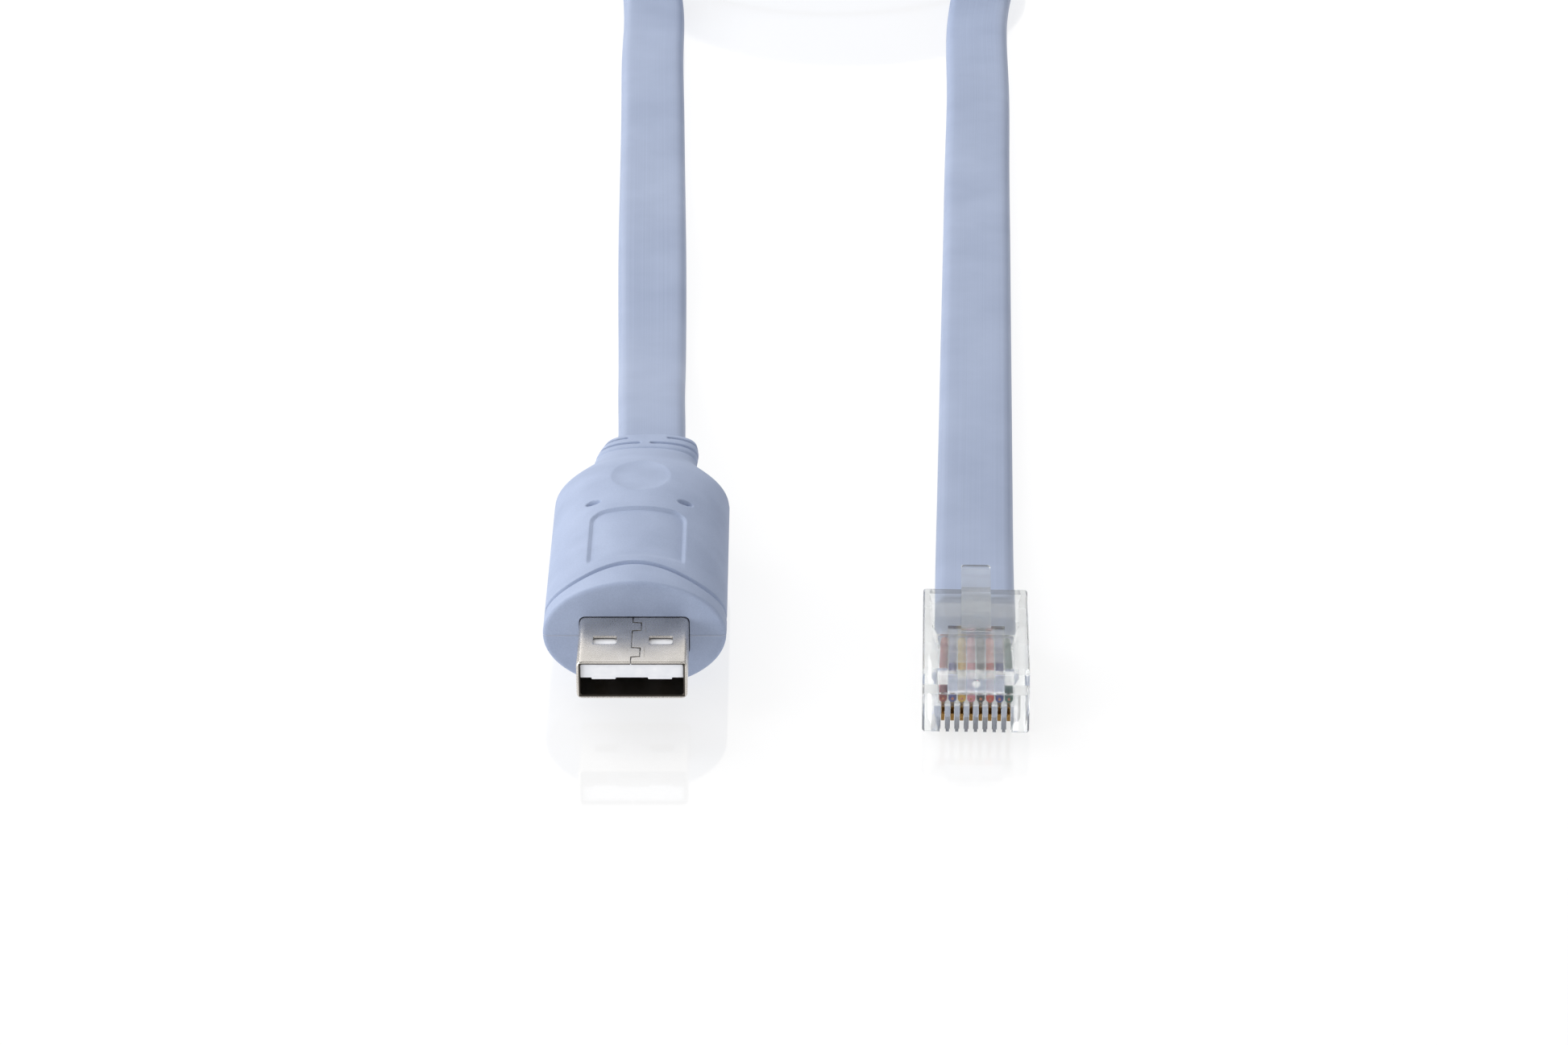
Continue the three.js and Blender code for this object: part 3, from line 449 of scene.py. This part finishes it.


# %% [markdown]
# ## Pale blue plastics
# The grip has a fine sparked grain, so it scatters light softly and shows tiny
# speckles. Where the two halves of its mould met, a fine ridge runs round it at half
# its height, and a painted highlight lightens its colour along that ridge. The cable's
# jacket is drawn through a die: it is smoother, with very faint lines along its length.
# Both share one blue, and the jacket is a touch deeper.

# %% Grip and jacket finishes
def grip_finish():
    made = Finish("grip_plastic", Roughness=0.62, IOR=1.5)
    where = made.place(MM)
    grain = made.noise(where, 6.5, 3.0, 0.6)
    cloud = made.noise(where, 0.22, 2.0, 0.5)
    tint = grain * 0.55 + cloud * 0.45
    shade = made.mix(tint.above(0.34, 0.66), colour(149, 162, 190), colour(164, 177, 204))
    height = made.node("ShaderNodeSeparateXYZ", None, where, out=2)
    # mask of the parting ridge: it carries the ridge's bump and a painted highlight
    parting = 1 - (height - AXIS_Z).size().above(0.03, 0.1)
    # painted highlight: the base colour is lightened along the parting ridge, where the ridge would catch
    # the light
    made.feed("Base Color", made.mix(0.45 * parting, shade, colour(205, 213, 232)))
    made.feed("Roughness", 0.54 + 0.16 * grain)
    made.feed("Normal", made.bump(grain, 0.35, 0.00006, made.bump(parting, 0.8, 0.0001)))
    return made


def jacket_finish():
    made = Finish("jacket_plastic", Roughness=0.45, IOR=1.5)
    lines = made.noise(made.place((6, 240, 1), "UV"), 1.0, 3.0, 0.55)
    mottle = made.noise(made.place((900, 900, 900)), 0.12, 3.0, 0.5)
    tint = lines * 0.5 + mottle * 0.5
    made.feed("Base Color", made.mix(tint.above(0.36, 0.64), colour(143, 156, 184), colour(157, 170, 197)))
    made.feed("Roughness", 0.4 + 0.14 * lines)
    made.feed("Normal", made.bump(lines, 0.16, 0.00005))
    return made


grip_plastic = grip_finish()
jacket_plastic = jacket_finish()
dress(cable, jacket_plastic)
print("cable dressed")


# %% [markdown]
# ## Woven bands
# The bands are a hook-and-loop weave: crossing ribs, dark and rough, with a little
# fuzz of loops.

# %% Band finish
def band_finish():
    made = Finish("band_weave", Roughness=0.9, IOR=1.45)
    where = made.place(MM)

    def ribs(way):
        settings = dict(wave_type="BANDS", bands_direction=way)
        return made.node("ShaderNodeTexWave", settings, Vector=where, Scale=0.9, Distortion=1.2)

    fuzz = made.noise(where, 5.0, 4.0, 0.7)
    weave = ribs("Y") * 0.4 + ribs("Z") * 0.3 + fuzz * 0.3
    made.feed("Base Color", made.mix(weave.clamped(), colour(26, 27, 30), colour(58, 59, 63)))
    made.feed("Normal", made.bump(weave, 0.7, 0.0002))
    return made


band_weave = band_finish()
for strip in bands:
    dress(strip, band_weave)
print("bands dressed")

# %% [markdown]
# ## The grip
# The soft grip is one moulding: a flat front face round the metal shell, a lip,
# a brow-shaped groove, a long oval body with a label recess, two small slits and a
# thumb dimple, and a ringed strain relief. It is one surface over angle and
# length. Each feature is a depth field in millimetres that pushes the oval inwards
# along its own normal, so features can overlap without any cutting.

# %% Shape of the grip
LIP_START, GRIP_HW, GRIP_HH = 10.6, 10.1, 6.55
NECK_HW, NECK_HH, NECK_ROUND = 6.0, 2.3, 0.7
SHOULDER, CROWN = 11.9, 20.1


def grip_half_sizes(y):
    """Half width falls as (1 - t^2)^2.7, half height as 1 - t^1.66. Along the neck both taper."""
    side = np.clip(1 - (NECK_START - y) / SHOULDER, 0, 1)
    crown = np.clip(1 - (NECK_START - y) / CROWN, 0, 1)
    w = NECK_HW + (GRIP_HW - NECK_HW) * (1 - side**2) ** 2.7
    h = NECK_HH + (GRIP_HH - NECK_HH) * (1 - crown**1.66)
    t = np.clip((y - NECK_START) / (NECK_END - NECK_START), 0, 1)
    return w * (1 - 0.12 * t * t), h * (1 - 0.24 * t * t)


def even_angles(count):
    """Angles whose points lie evenly spaced round the grip's oval."""
    a = np.linspace(0, 2 * math.pi, 4001)
    s = np.r_[0, np.cumsum(np.hypot(np.diff(GRIP_HW * np.cos(a)), np.diff(GRIP_HH * np.sin(a))))]
    return np.interp(np.linspace(0, s[-1], count, endpoint=False), s, a)


def lip_length(s):
    """Length of the front lip: 3.5 - 4.1 s^2 + 5.2 s^4, so 3.5 mm at the sides and 4.6 mm on top."""
    return 3.5 - 4.1 * s**2 + 5.2 * s**4


def box_distance(x, y, half_x, low_y, high_y, r):
    """Signed distance to a rounded rectangle, negative inside."""
    qx = np.abs(x) - (half_x - r)
    qy = np.abs(y - (low_y + high_y) / 2) - ((high_y - low_y) / 2 - r)
    return np.hypot(np.maximum(qx, 0), np.maximum(qy, 0)) + np.minimum(np.maximum(qx, qy), 0) - r


def grip_depth(x, y, upper, past_lip):
    """Sum of the depth fields: brow groove, label recess, slits, dimple and ring slots."""
    groove = 0.62 * step(-0.1, 0.1, past_lip) * (1 - step(0.45, 1.0, past_lip))
    edge = -box_distance(x, y, 5.4, 12.0, 29.9, 1.9)
    label = 0.34 * step(-0.05, 0.16, edge) * step(16.8, 18.6, y) * upper
    slit = np.zeros_like(x)
    for side in (-1, 1):
        r = np.hypot((x - side * 5.25) / 0.85, (y - 32.7 - 0.12 * side * (x - side * 5.25)) / 0.55)
        slit = slit + 0.9 * (1 - step(0.6, 1.05, r)) * upper
    dish = np.hypot(x / 3.45, (y - 39.7) / 5.4)
    dimple = 0.3 * np.clip(1 - dish**4, 0, 1) * upper
    cut = np.zeros_like(x)
    for y0, bridge in ((56.15, 0.7), (58.0, 2.4)):
        ring = step(y0 - 0.06, y0 + 0.06, y) * (1 - step(y0 + 0.42, y0 + 0.56, y))
        cut = cut + 0.85 * ring * step(bridge - 0.12, bridge + 0.12, np.abs(x + 0.25))
    crease = 0.16 * np.exp(-(((y - NECK_START) / 0.28) ** 2))
    return groove + label + slit + dimple + cut + crease


def grip_surface():
    """Rings from inside the shell's pocket, over the front face and the body, to the cable's seat."""
    angles = even_angles(330)
    c, s = np.cos(angles), np.sin(angles)
    lip = lip_length(np.abs(s))
    rings = []

    def add(x, y, z):
        rings.append(np.stack(np.broadcast_arrays(x + USB_X, y, z + AXIS_Z), -1))

    def outline(half_w, half_h, r, cx=0.0):
        """Point of a rounded rectangle seen from its centre in the same direction as the oval's point."""
        loop = rounded_loop(2 * half_w, 2 * half_h, r, 2400)
        bearing = np.unwrap(np.arctan2(loop[:, 1], loop[:, 0]))
        want = np.unwrap(np.arctan2(GRIP_HH * s, GRIP_HW * c))
        order = np.argsort(bearing)
        span = bearing[order]
        want = (want - span[0]) % (2 * math.pi) + span[0]
        long = np.r_[span, span[0] + 2 * math.pi]
        x = np.interp(want, long, np.r_[loop[order, 0], loop[order[0], 0]])
        z = np.interp(want, long, np.r_[loop[order, 1], loop[order[0], 1]])
        return cx + x, z

    px, pz = outline(6.08, 2.33, 0.65)
    for depth in (1.6, 0.8, 0.12):
        add(px, LIP_START + depth, pz)
    inset = 0.45
    ox, oz = (GRIP_HW - inset) * c, (GRIP_HH - inset) * s
    ridge = 0.05 * np.exp(-((GRIP_HH * s / 0.13) ** 2))
    for share in np.r_[0, 0.015, np.linspace(0.06, 1, 16)]:
        add(px + (ox - px) * share, LIP_START - ridge * step(0, 0.05, share), pz + (oz - pz) * share)
    for turn in np.linspace(0, math.pi / 2, 6)[1:]:
        k = inset * (1 - math.sin(turn))
        add((GRIP_HW - k) * c, LIP_START + inset * (1 - math.cos(turn)), (GRIP_HH - k) * s)

    base = np.r_[
        np.linspace(17.0, 34.4, 98), np.linspace(34.8, 45, 30),
        np.linspace(45.4, 54.2, 26), np.linspace(54.4, NECK_END - 0.75, 54),
    ]
    past = np.r_[np.linspace(-2.2, -0.3, 7), np.linspace(-0.16, 1.04, 20), 1.2, 1.5]
    tracks = [LIP_START + lip + p for p in past] + [np.full_like(c, y) for y in base]
    for y in tracks:
        w, h = grip_half_sizes(y)
        flat = np.clip(1 - (NECK_START - y) / SHOULDER, 0, 1) ** 4
        power = 1 - 0.2 * flat
        x = w * np.sign(c) * np.abs(c) ** power
        z = h * np.sign(s) * np.abs(s) ** power
        upper = step(0.5, 2.0, z)
        depth = grip_depth(x, y, upper, y - LIP_START - lip)
        parting = 0.035 * np.exp(-((z / 0.14) ** 2))
        nx, nz = c / w, s / h
        size = np.hypot(nx, nz)
        depth = depth - parting
        lean = NECK_LEAN * step(NECK_START - 2, NECK_END, y)
        add(x - depth * nx / size + lean, y, z - depth * nz / size)
    w, h = grip_half_sizes(np.array(NECK_END))
    power = 0.8
    for turn in np.linspace(0, math.pi / 2, 7):
        k = NECK_ROUND * (1 - math.cos(turn))
        x = (w - k) * np.sign(c) * np.abs(c) ** power
        z = (h - k) * np.sign(s) * np.abs(s) ** power
        add(x + NECK_LEAN, NECK_END - NECK_ROUND * (1 - math.sin(turn)), z)
    ex, ez = x + NECK_LEAN, z
    sx, sz = outline(CABLE_W / 2 * 0.93, CABLE_T / 2 + 0.03, 1.24, NECK_LEAN)
    for share in (0.35, 0.7, 1):
        add(ex + (sx - ex) * share, NECK_END, ez + (sz - ez) * share)
    for depth in (0.3, 1.5):
        add(sx, NECK_END - depth, sz)
    return np.stack(rings)


rings = grip_surface()
grip = tube_of("grip", rings)
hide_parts("usb_overmould")
dress(grip, grip_plastic)
print("grip:", rings.shape[0], "by", rings.shape[1], "points")


# %% [markdown]
# ## The metal shell
# The shell is one strip of thin steel folded round four corners until its two ends
# meet on top, where tabs lock like a jigsaw. So it is drawn as a strip: the
# distance round the section is one direction, the depth into the socket the other,
# and the two ends follow the same stepped line with a hair's gap between them.
# The four windows are left out of the grid, their edges pulled to round corners.

# %% Folded shell
SHELL_W, SHELL_H, SHELL_R, SHELL_T, SHELL_L = 12.0, 4.5, 0.6, 0.3, 15.6
WINDOW_X, WINDOW_Y, WINDOW_HALF_X, WINDOW_HALF_Y, WINDOW_R = 3.05, 5.125, 1.3, 0.975, 0.42
TABS, TAB_REACH = ((1.2, 3.3), (7.4, 9.3)), 0.95


def seam(y, side):
    """Edge of one end of the strip (side +1 right, -1 left): two tabs, with a gap all round."""
    wider = 0.1 * side
    rise = lambda at: step(at - 0.07, at + 0.07, y)
    tabs = sum(rise(low - wider) * (1 - rise(high + wider)) for low, high in TABS)
    return -0.1 + 0.06 * side + TAB_REACH * tabs


def lines_near(places, spread, coarse):
    """Sorted grid lines: coarse ones, and close pairs round each place."""
    extra = [p + d for p in places for d in spread]
    kept = [v for v in coarse if all(abs(v - e) > 0.03 for e in extra)]
    return np.array(sorted(set(np.round(extra + kept, 4))))


def shell_surface():
    """Strip point = section point at distance s(j) + seam shift, pushed to depth y(i)."""
    total = 2 * (SHELL_W + SHELL_H) - 8 * SHELL_R + 2 * math.pi * SHELL_R
    loop = rounded_loop(SHELL_W, SHELL_H, SHELL_R, 6000)
    start = np.argmin(np.abs(loop[:, 0]) + 10 * (loop[:, 1] < 0))
    loop = np.roll(loop, -start, axis=0)[::-1]
    loop = np.roll(loop, 1, axis=0)
    arc = np.linspace(0, total, 6000, endpoint=False)
    spread = (-0.25, -0.12, 0, 0.12, 0.25)
    window_x = [WINDOW_X - WINDOW_HALF_X, WINDOW_X + WINDOW_HALF_X]
    window_y = [WINDOW_Y - WINDOW_HALF_Y, WINDOW_Y + WINDOW_HALF_Y]
    places = [p for x in window_x for p in (x, total / 2 - x, total / 2 + x, total - x)]
    across = lines_near(places, spread, np.linspace(0, total, 150))
    coarse = np.r_[np.linspace(0.2, 10.6, 90), np.linspace(10.9, SHELL_L, 12)]
    corners = [edge + d for tab in TABS for edge in tab for d in np.linspace(-0.2, 0.2, 11)]
    along = np.r_[lines_near(window_y, spread, coarse), corners, 0, 0.03, 0.08, 0.14]
    along = np.array(sorted(set(np.round(along, 4))))
    s, y = np.meshgrid(across, along)
    near = np.where(s < total / 2, 1 - step(0.2, 1.5, s), 1 - step(0.2, 1.5, total - s))
    travel = s + np.where(s < total / 2, seam(y, 1), seam(y, -1)) * near
    inset = 0.13 * (1 - step(0, 0.16, y))
    at = travel % total
    x = np.interp(at, np.r_[arc, total], np.r_[loop[:, 0], loop[0, 0]])
    z = np.interp(at, np.r_[arc, total], np.r_[loop[:, 1], loop[0, 1]])
    x, z = x * (1 - inset / (SHELL_W / 2)), z * (1 - inset / (SHELL_H / 2))
    return x, y, z


def shell_piece():
    x, y, z = shell_surface()
    rows, cols = x.shape
    faces = grid_faces(rows, cols, wrap=False)
    fx, fy = x.ravel()[faces].mean(1), y.ravel()[faces].mean(1)
    in_x, in_y = np.abs(np.abs(fx) - WINDOW_X) < WINDOW_HALF_X, np.abs(fy - WINDOW_Y) < WINDOW_HALF_Y
    faces = faces[~(in_x & in_y)]
    points = np.stack([x.ravel(), y.ravel(), z.ravel()], 1)
    u = np.abs(points[:, 0]) - WINDOW_X
    v = points[:, 1] - WINDOW_Y
    near = (np.abs(u) < WINDOW_HALF_X + 0.01) & (np.abs(v) < WINDOW_HALF_Y + 0.01)
    r = WINDOW_R
    cu = np.clip(u, r - WINDOW_HALF_X, WINDOW_HALF_X - r)
    cv = np.clip(v, r - WINDOW_HALF_Y, WINDOW_HALF_Y - r)
    away = np.hypot(u - cu, v - cv)
    corner = near & (away > r)
    pull = r / np.where(corner, away, 1)
    points[corner, 0] = np.sign(points[corner, 0]) * (WINDOW_X + cu + (u - cu) * pull)[corner]
    points[corner, 1] = (WINDOW_Y + cv + (v - cv) * pull)[corner]
    used = np.zeros(len(points), bool)
    used[faces] = True
    faces = (np.cumsum(used) - 1)[faces]
    points = points[used] + [USB_X, 0, AXIS_Z]
    made = piece_of("folded_shell", points, faces, flip=True)
    thick = made.modifiers.new("wall", "SOLIDIFY")
    thick.thickness = SHELL_T / 1000
    thick.offset = -1
    round_off = made.modifiers.new("edges", "BEVEL")
    round_off.width = 0.05 / 1000
    round_off.segments = 2
    round_off.limit_method = "ANGLE"
    round_off.angle_limit = math.radians(50)
    return made


shell = shell_piece()
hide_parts("usb_shell")
print("shell:", len(shell.data.polygons), "faces before its wall")


# %% [markdown]
# ## Nickel, gold and white plastic
# Nickel plate is a warm grey mirror, blurred by fine rolling marks. Inside the shell
# it is rougher, and its colour is darkened there as painted shade. Gold plate is thin
# and smooth. The white plastic in the shell is plain and a little waxy.

# %% Metals and white plastic
def nickel_finish():
    made = Finish("nickel_plate", Metallic=1.0, Roughness=0.22)
    where = made.place(MM)
    grain = made.noise(where, 9.0, 3.0, 0.65)
    smear = made.noise(where, 0.35, 2.0, 0.5)
    x, z = (made.node("ShaderNodeSeparateXYZ", None, where, out=axis) for axis in (0, 2))
    middle, half = (shell_low + shell_high) / 2, (shell_high - shell_low) / 2 - 0.25
    # mask of the inside walls of the shell: it takes painted shade and more roughness
    inside = half[0] - (x - middle[0]).size()
    inside = inside.least(half[2] - (z - middle[2]).size()).above(-0.02, 0.02)
    tone = (grain * 0.5 + smear * 0.5).above(0.35, 0.65)
    plate = made.mix(tone, colour(196, 191, 184), colour(222, 217, 211))
    # painted shade: inside the shell the plate colour is darkened where the socket lies in shadow
    made.feed("Base Color", made.mix(inside, plate, colour(70, 66, 61)))
    made.feed("Roughness", 0.2 + 0.14 * grain + 0.25 * inside)
    made.feed("Normal", made.bump(grain, 0.12, 0.00003))
    return made


def gold_finish():
    made = Finish("gold_plate", Metallic=1.0, Roughness=0.25)
    grain = made.noise(made.place(MM), 6.0, 2.0, 0.6)
    made.feed("Base Color", made.mix(grain.above(0.3, 0.7), colour(128, 98, 54), colour(154, 122, 74)))
    made.feed("Roughness", 0.2 + 0.16 * grain)
    return made


def white_finish():
    made = Finish("white_plastic", Roughness=0.45, IOR=1.5)
    cloud = made.noise(made.place(MM), 0.8, 3.0, 0.5)
    made.feed("Base Color", made.mix(cloud.above(0.3, 0.7), colour(232, 234, 240), colour(243, 244, 248)))
    made.feed("Roughness", 0.4 + 0.12 * cloud)
    return made


nickel_plate = nickel_finish()
gold_plate = gold_finish()
white_plastic = white_finish()
dress(shell, nickel_plate)


def softened(node, name, width, finish):
    """Copy of a CAD node with its doubles merged and its edges rounded off by a bevel."""
    mesh = bpy.data.objects[node].data.copy()
    made = bpy.data.objects.new(name, mesh)
    bpy.context.scene.collection.objects.link(made)
    work = bmesh.new()
    work.from_mesh(mesh)
    bmesh.ops.remove_doubles(work, verts=work.verts, dist=1e-6)
    bmesh.ops.dissolve_limit(work, angle_limit=math.radians(1), verts=work.verts, edges=work.edges)
    work.to_mesh(mesh)
    work.free()
    mesh.polygons.foreach_set("use_smooth", np.zeros(len(mesh.polygons), bool))
    bevel = made.modifiers.new("edges", "BEVEL")
    bevel.width = width / 1000
    bevel.segments = 2
    bevel.limit_method = "ANGLE"
    bevel.angle_limit = math.radians(35)
    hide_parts(node)
    dress(made, finish)
    return made


softened("usb_tongue", "tongue", 0.08, white_plastic)
for i in range(1, 5):
    softened(f"usb_contact_{i}", f"usb_strip_{i}", 0.04, gold_plate)
for i in range(1, 9):
    softened(f"rj45_contact_{i}", f"blade_{i}", 0.04, gold_plate)
print("tongue, strips and blades softened")


# %% [markdown]
# ## The clear plug
# The plug is moulded in clear polycarbonate. What one sees of it is its edges and
# its inner walls, which bend the light, so it keeps its true solid with small
# rounded edges and a smooth clear finish. Light crosses many walls here, so the
# bounce counts are raised, and a part of it passes straight through.

# %% Clear plug
light = bpy.context.scene.cycles
light.max_bounces, light.glossy_bounces, light.transmission_bounces = 32, 16, 24
light.transparent_max_bounces = 32


def clear_finish():
    made = Finish("clear_plastic", Roughness=0.0, IOR=1.585)
    made.shader.inputs["Transmission Weight"].default_value = 1.0
    made.shader.inputs["Alpha"].default_value = 0.88
    wave = made.noise(made.place(MM), 0.5, 2.0, 0.5)
    made.feed("Base Color", made.mix(wave.above(0.3, 0.7), colour(230, 232, 232), colour(239, 241, 241)))
    made.feed("Normal", made.bump(wave, 0.02, 0.0001))
    return made


clear_plastic = clear_finish()
plug = softened("rj45_body", "clear_plug", 0.1, clear_plastic)
print("clear plug:", len(plug.data.polygons), "faces")


# %% [markdown]
# ## The eight wires
# Each wire is a soft coloured tube round a copper strand. The tubes run straight
# through the plug, the outer two bow a little, and at the front each shows its cut
# end: a ring of insulation with a copper dot.

# %% Wires
WIRES = [
    ("brown_red", (150, 44, 38)), ("violet", (62, 66, 146)), ("yellow", (220, 172, 26)),
    ("pink", (226, 140, 156)), ("black", (14, 15, 18)), ("orange_red", (214, 62, 32)),
    ("blue", (18, 44, 140)), ("green", (6, 88, 70)),
]
WIRE_R, STRAND_R = 0.455, 0.16


def plug_to_frame(points):
    """Turn the plug's own coordinates by its small yaw and put them at its place."""
    c, s = math.cos(RJ_TURN), math.sin(RJ_TURN)
    x, y = points[..., 0], points[..., 1]
    return np.stack([RJ_X + x * c + y * s, RJ_Y - x * s + y * c, points[..., 2]], -1)


def wire_shape(index, radius, front, back, bow):
    """Tube round a line in y that drifts sideways by bow * t^2; its front edge is rounded."""
    x0 = (index - 3.5) * WIRE_PITCH
    y = np.r_[front, front + 0.02, front + 0.06, front + 0.1, np.linspace(front + 0.2, back, 40)]
    r = radius * np.r_[0.86, 0.94, 0.98, 1.0, np.ones(40)]
    share = (y - front) / (back - front)
    x = x0 + bow * share**2
    a = np.linspace(0, 2 * math.pi, 20, endpoint=False)
    across, up = x[:, None] + r[:, None] * np.cos(a), WIRE_Z + r[:, None] * np.sin(a)
    return plug_to_frame(np.stack(np.broadcast_arrays(across, y[:, None], up), -1))


def wire_finish(name, rgb):
    made = Finish(f"wire_{name}", Roughness=0.4, IOR=1.5)
    cloud = made.noise(made.place(MM), 1.2, 2.0, 0.5)
    light = tuple(min(255, v * 1.08 + 6) for v in rgb)
    made.feed("Base Color", made.mix(cloud.above(0.3, 0.7), colour(*rgb), colour(*light)))
    made.feed("Roughness", 0.34 + 0.16 * cloud)
    return made


def copper_finish():
    made = Finish("copper_strand", Metallic=1.0, Roughness=0.35)
    grain = made.noise(made.place(MM), 8.0, 2.0, 0.6)
    made.feed("Base Color", made.mix(grain.above(0.3, 0.7), colour(190, 110, 78), colour(222, 150, 112)))
    made.feed("Roughness", 0.3 + 0.2 * grain)
    return made


copper = copper_finish()
for i, (wire_name, rgb) in enumerate(WIRES):
    bow = (0.2, 0.05, 0, 0, 0, 0, -0.05, -0.2)[i]
    wire = tube_of(f"wire_{i + 1}", wire_shape(i, WIRE_R, 0.62, 11.4, bow), flip=True)
    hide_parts(f"conductor_{i + 1}")
    dress(wire, wire_finish(wire_name, rgb))
    core = tube_of(f"strand_{i + 1}", wire_shape(i, STRAND_R, 0.56, 1.6, bow), flip=True)
    dress(core, copper)
print("wires made:", len(WIRES))

# %% [markdown]
# ## Floor and light
# The photograph stands on a bright white sweep under soft light from the upper
# left. A large pale floor, a white sky and five wide lamps give the same soft
# shadows. The floor mirrors the lamp behind, except where the plugs hide it, and
# that gives the faint mirror image under them.

# %% Floor
floor_mesh = bpy.data.meshes.new("floor")
corners = [(x, y, -0.0001) for x, y in ((-4, -4), (4, -4), (4, 6), (-4, 6))]
floor_mesh.from_pydata(corners, [], [(0, 1, 2, 3)])
floor = bpy.data.objects.new("floor", floor_mesh)
bpy.context.scene.collection.objects.link(floor)
floor_finish = Finish("floor_white", Roughness=0.06, IOR=1.45, Base_Color=(0.22, 0.22, 0.222, 1))
floor_finish.shader.inputs["Emission Color"].default_value = (1, 1, 1, 1)
floor_finish.shader.inputs["Emission Strength"].default_value = 0.72
floor.data.materials.append(floor_finish.material)

# %% Lights
def lamp(name, place, target, size, power):
    """A square area lamp at a place in metres, aimed at a target."""
    data = bpy.data.lights.new(name, "AREA")
    data.size, data.energy = size, power
    made = bpy.data.objects.new(name, data)
    bpy.context.scene.collection.objects.link(made)
    made.location = place
    aim = np.array(place) - np.array(target)
    flat = math.hypot(aim[0], aim[1])
    made.rotation_euler = (math.atan2(flat, aim[2]), 0, math.atan2(aim[0], -aim[1]))


lamp("key", (-0.85, 0.75, 0.8), (0, 0.02, 0), 0.9, 11.5)
lamp("back", (0.0, 1.6, 0.78), (0, 0.02, 0), 1.6, 6)
lamp("side", (-1.0, -0.55, 0.3), (0, 0.0, 0), 0.6, 7)
lamp("top", (0.0, 0.3, 1.6), (0, 0.05, 0), 1.4, 5.5)
lamp("fill", (0.9, -1.1, 0.6), (0, 0.02, 0), 1.0, 3.8)
sky = bpy.data.worlds.new("sky")
sky.use_nodes = True
sky.node_tree.nodes["Background"].inputs[0].default_value = (1, 1, 1, 1)
sky.node_tree.nodes["Background"].inputs[1].default_value = 0.35
bpy.context.scene.world = sky
bpy.context.scene.view_settings.view_transform = "Standard"
print("floor and lights placed")
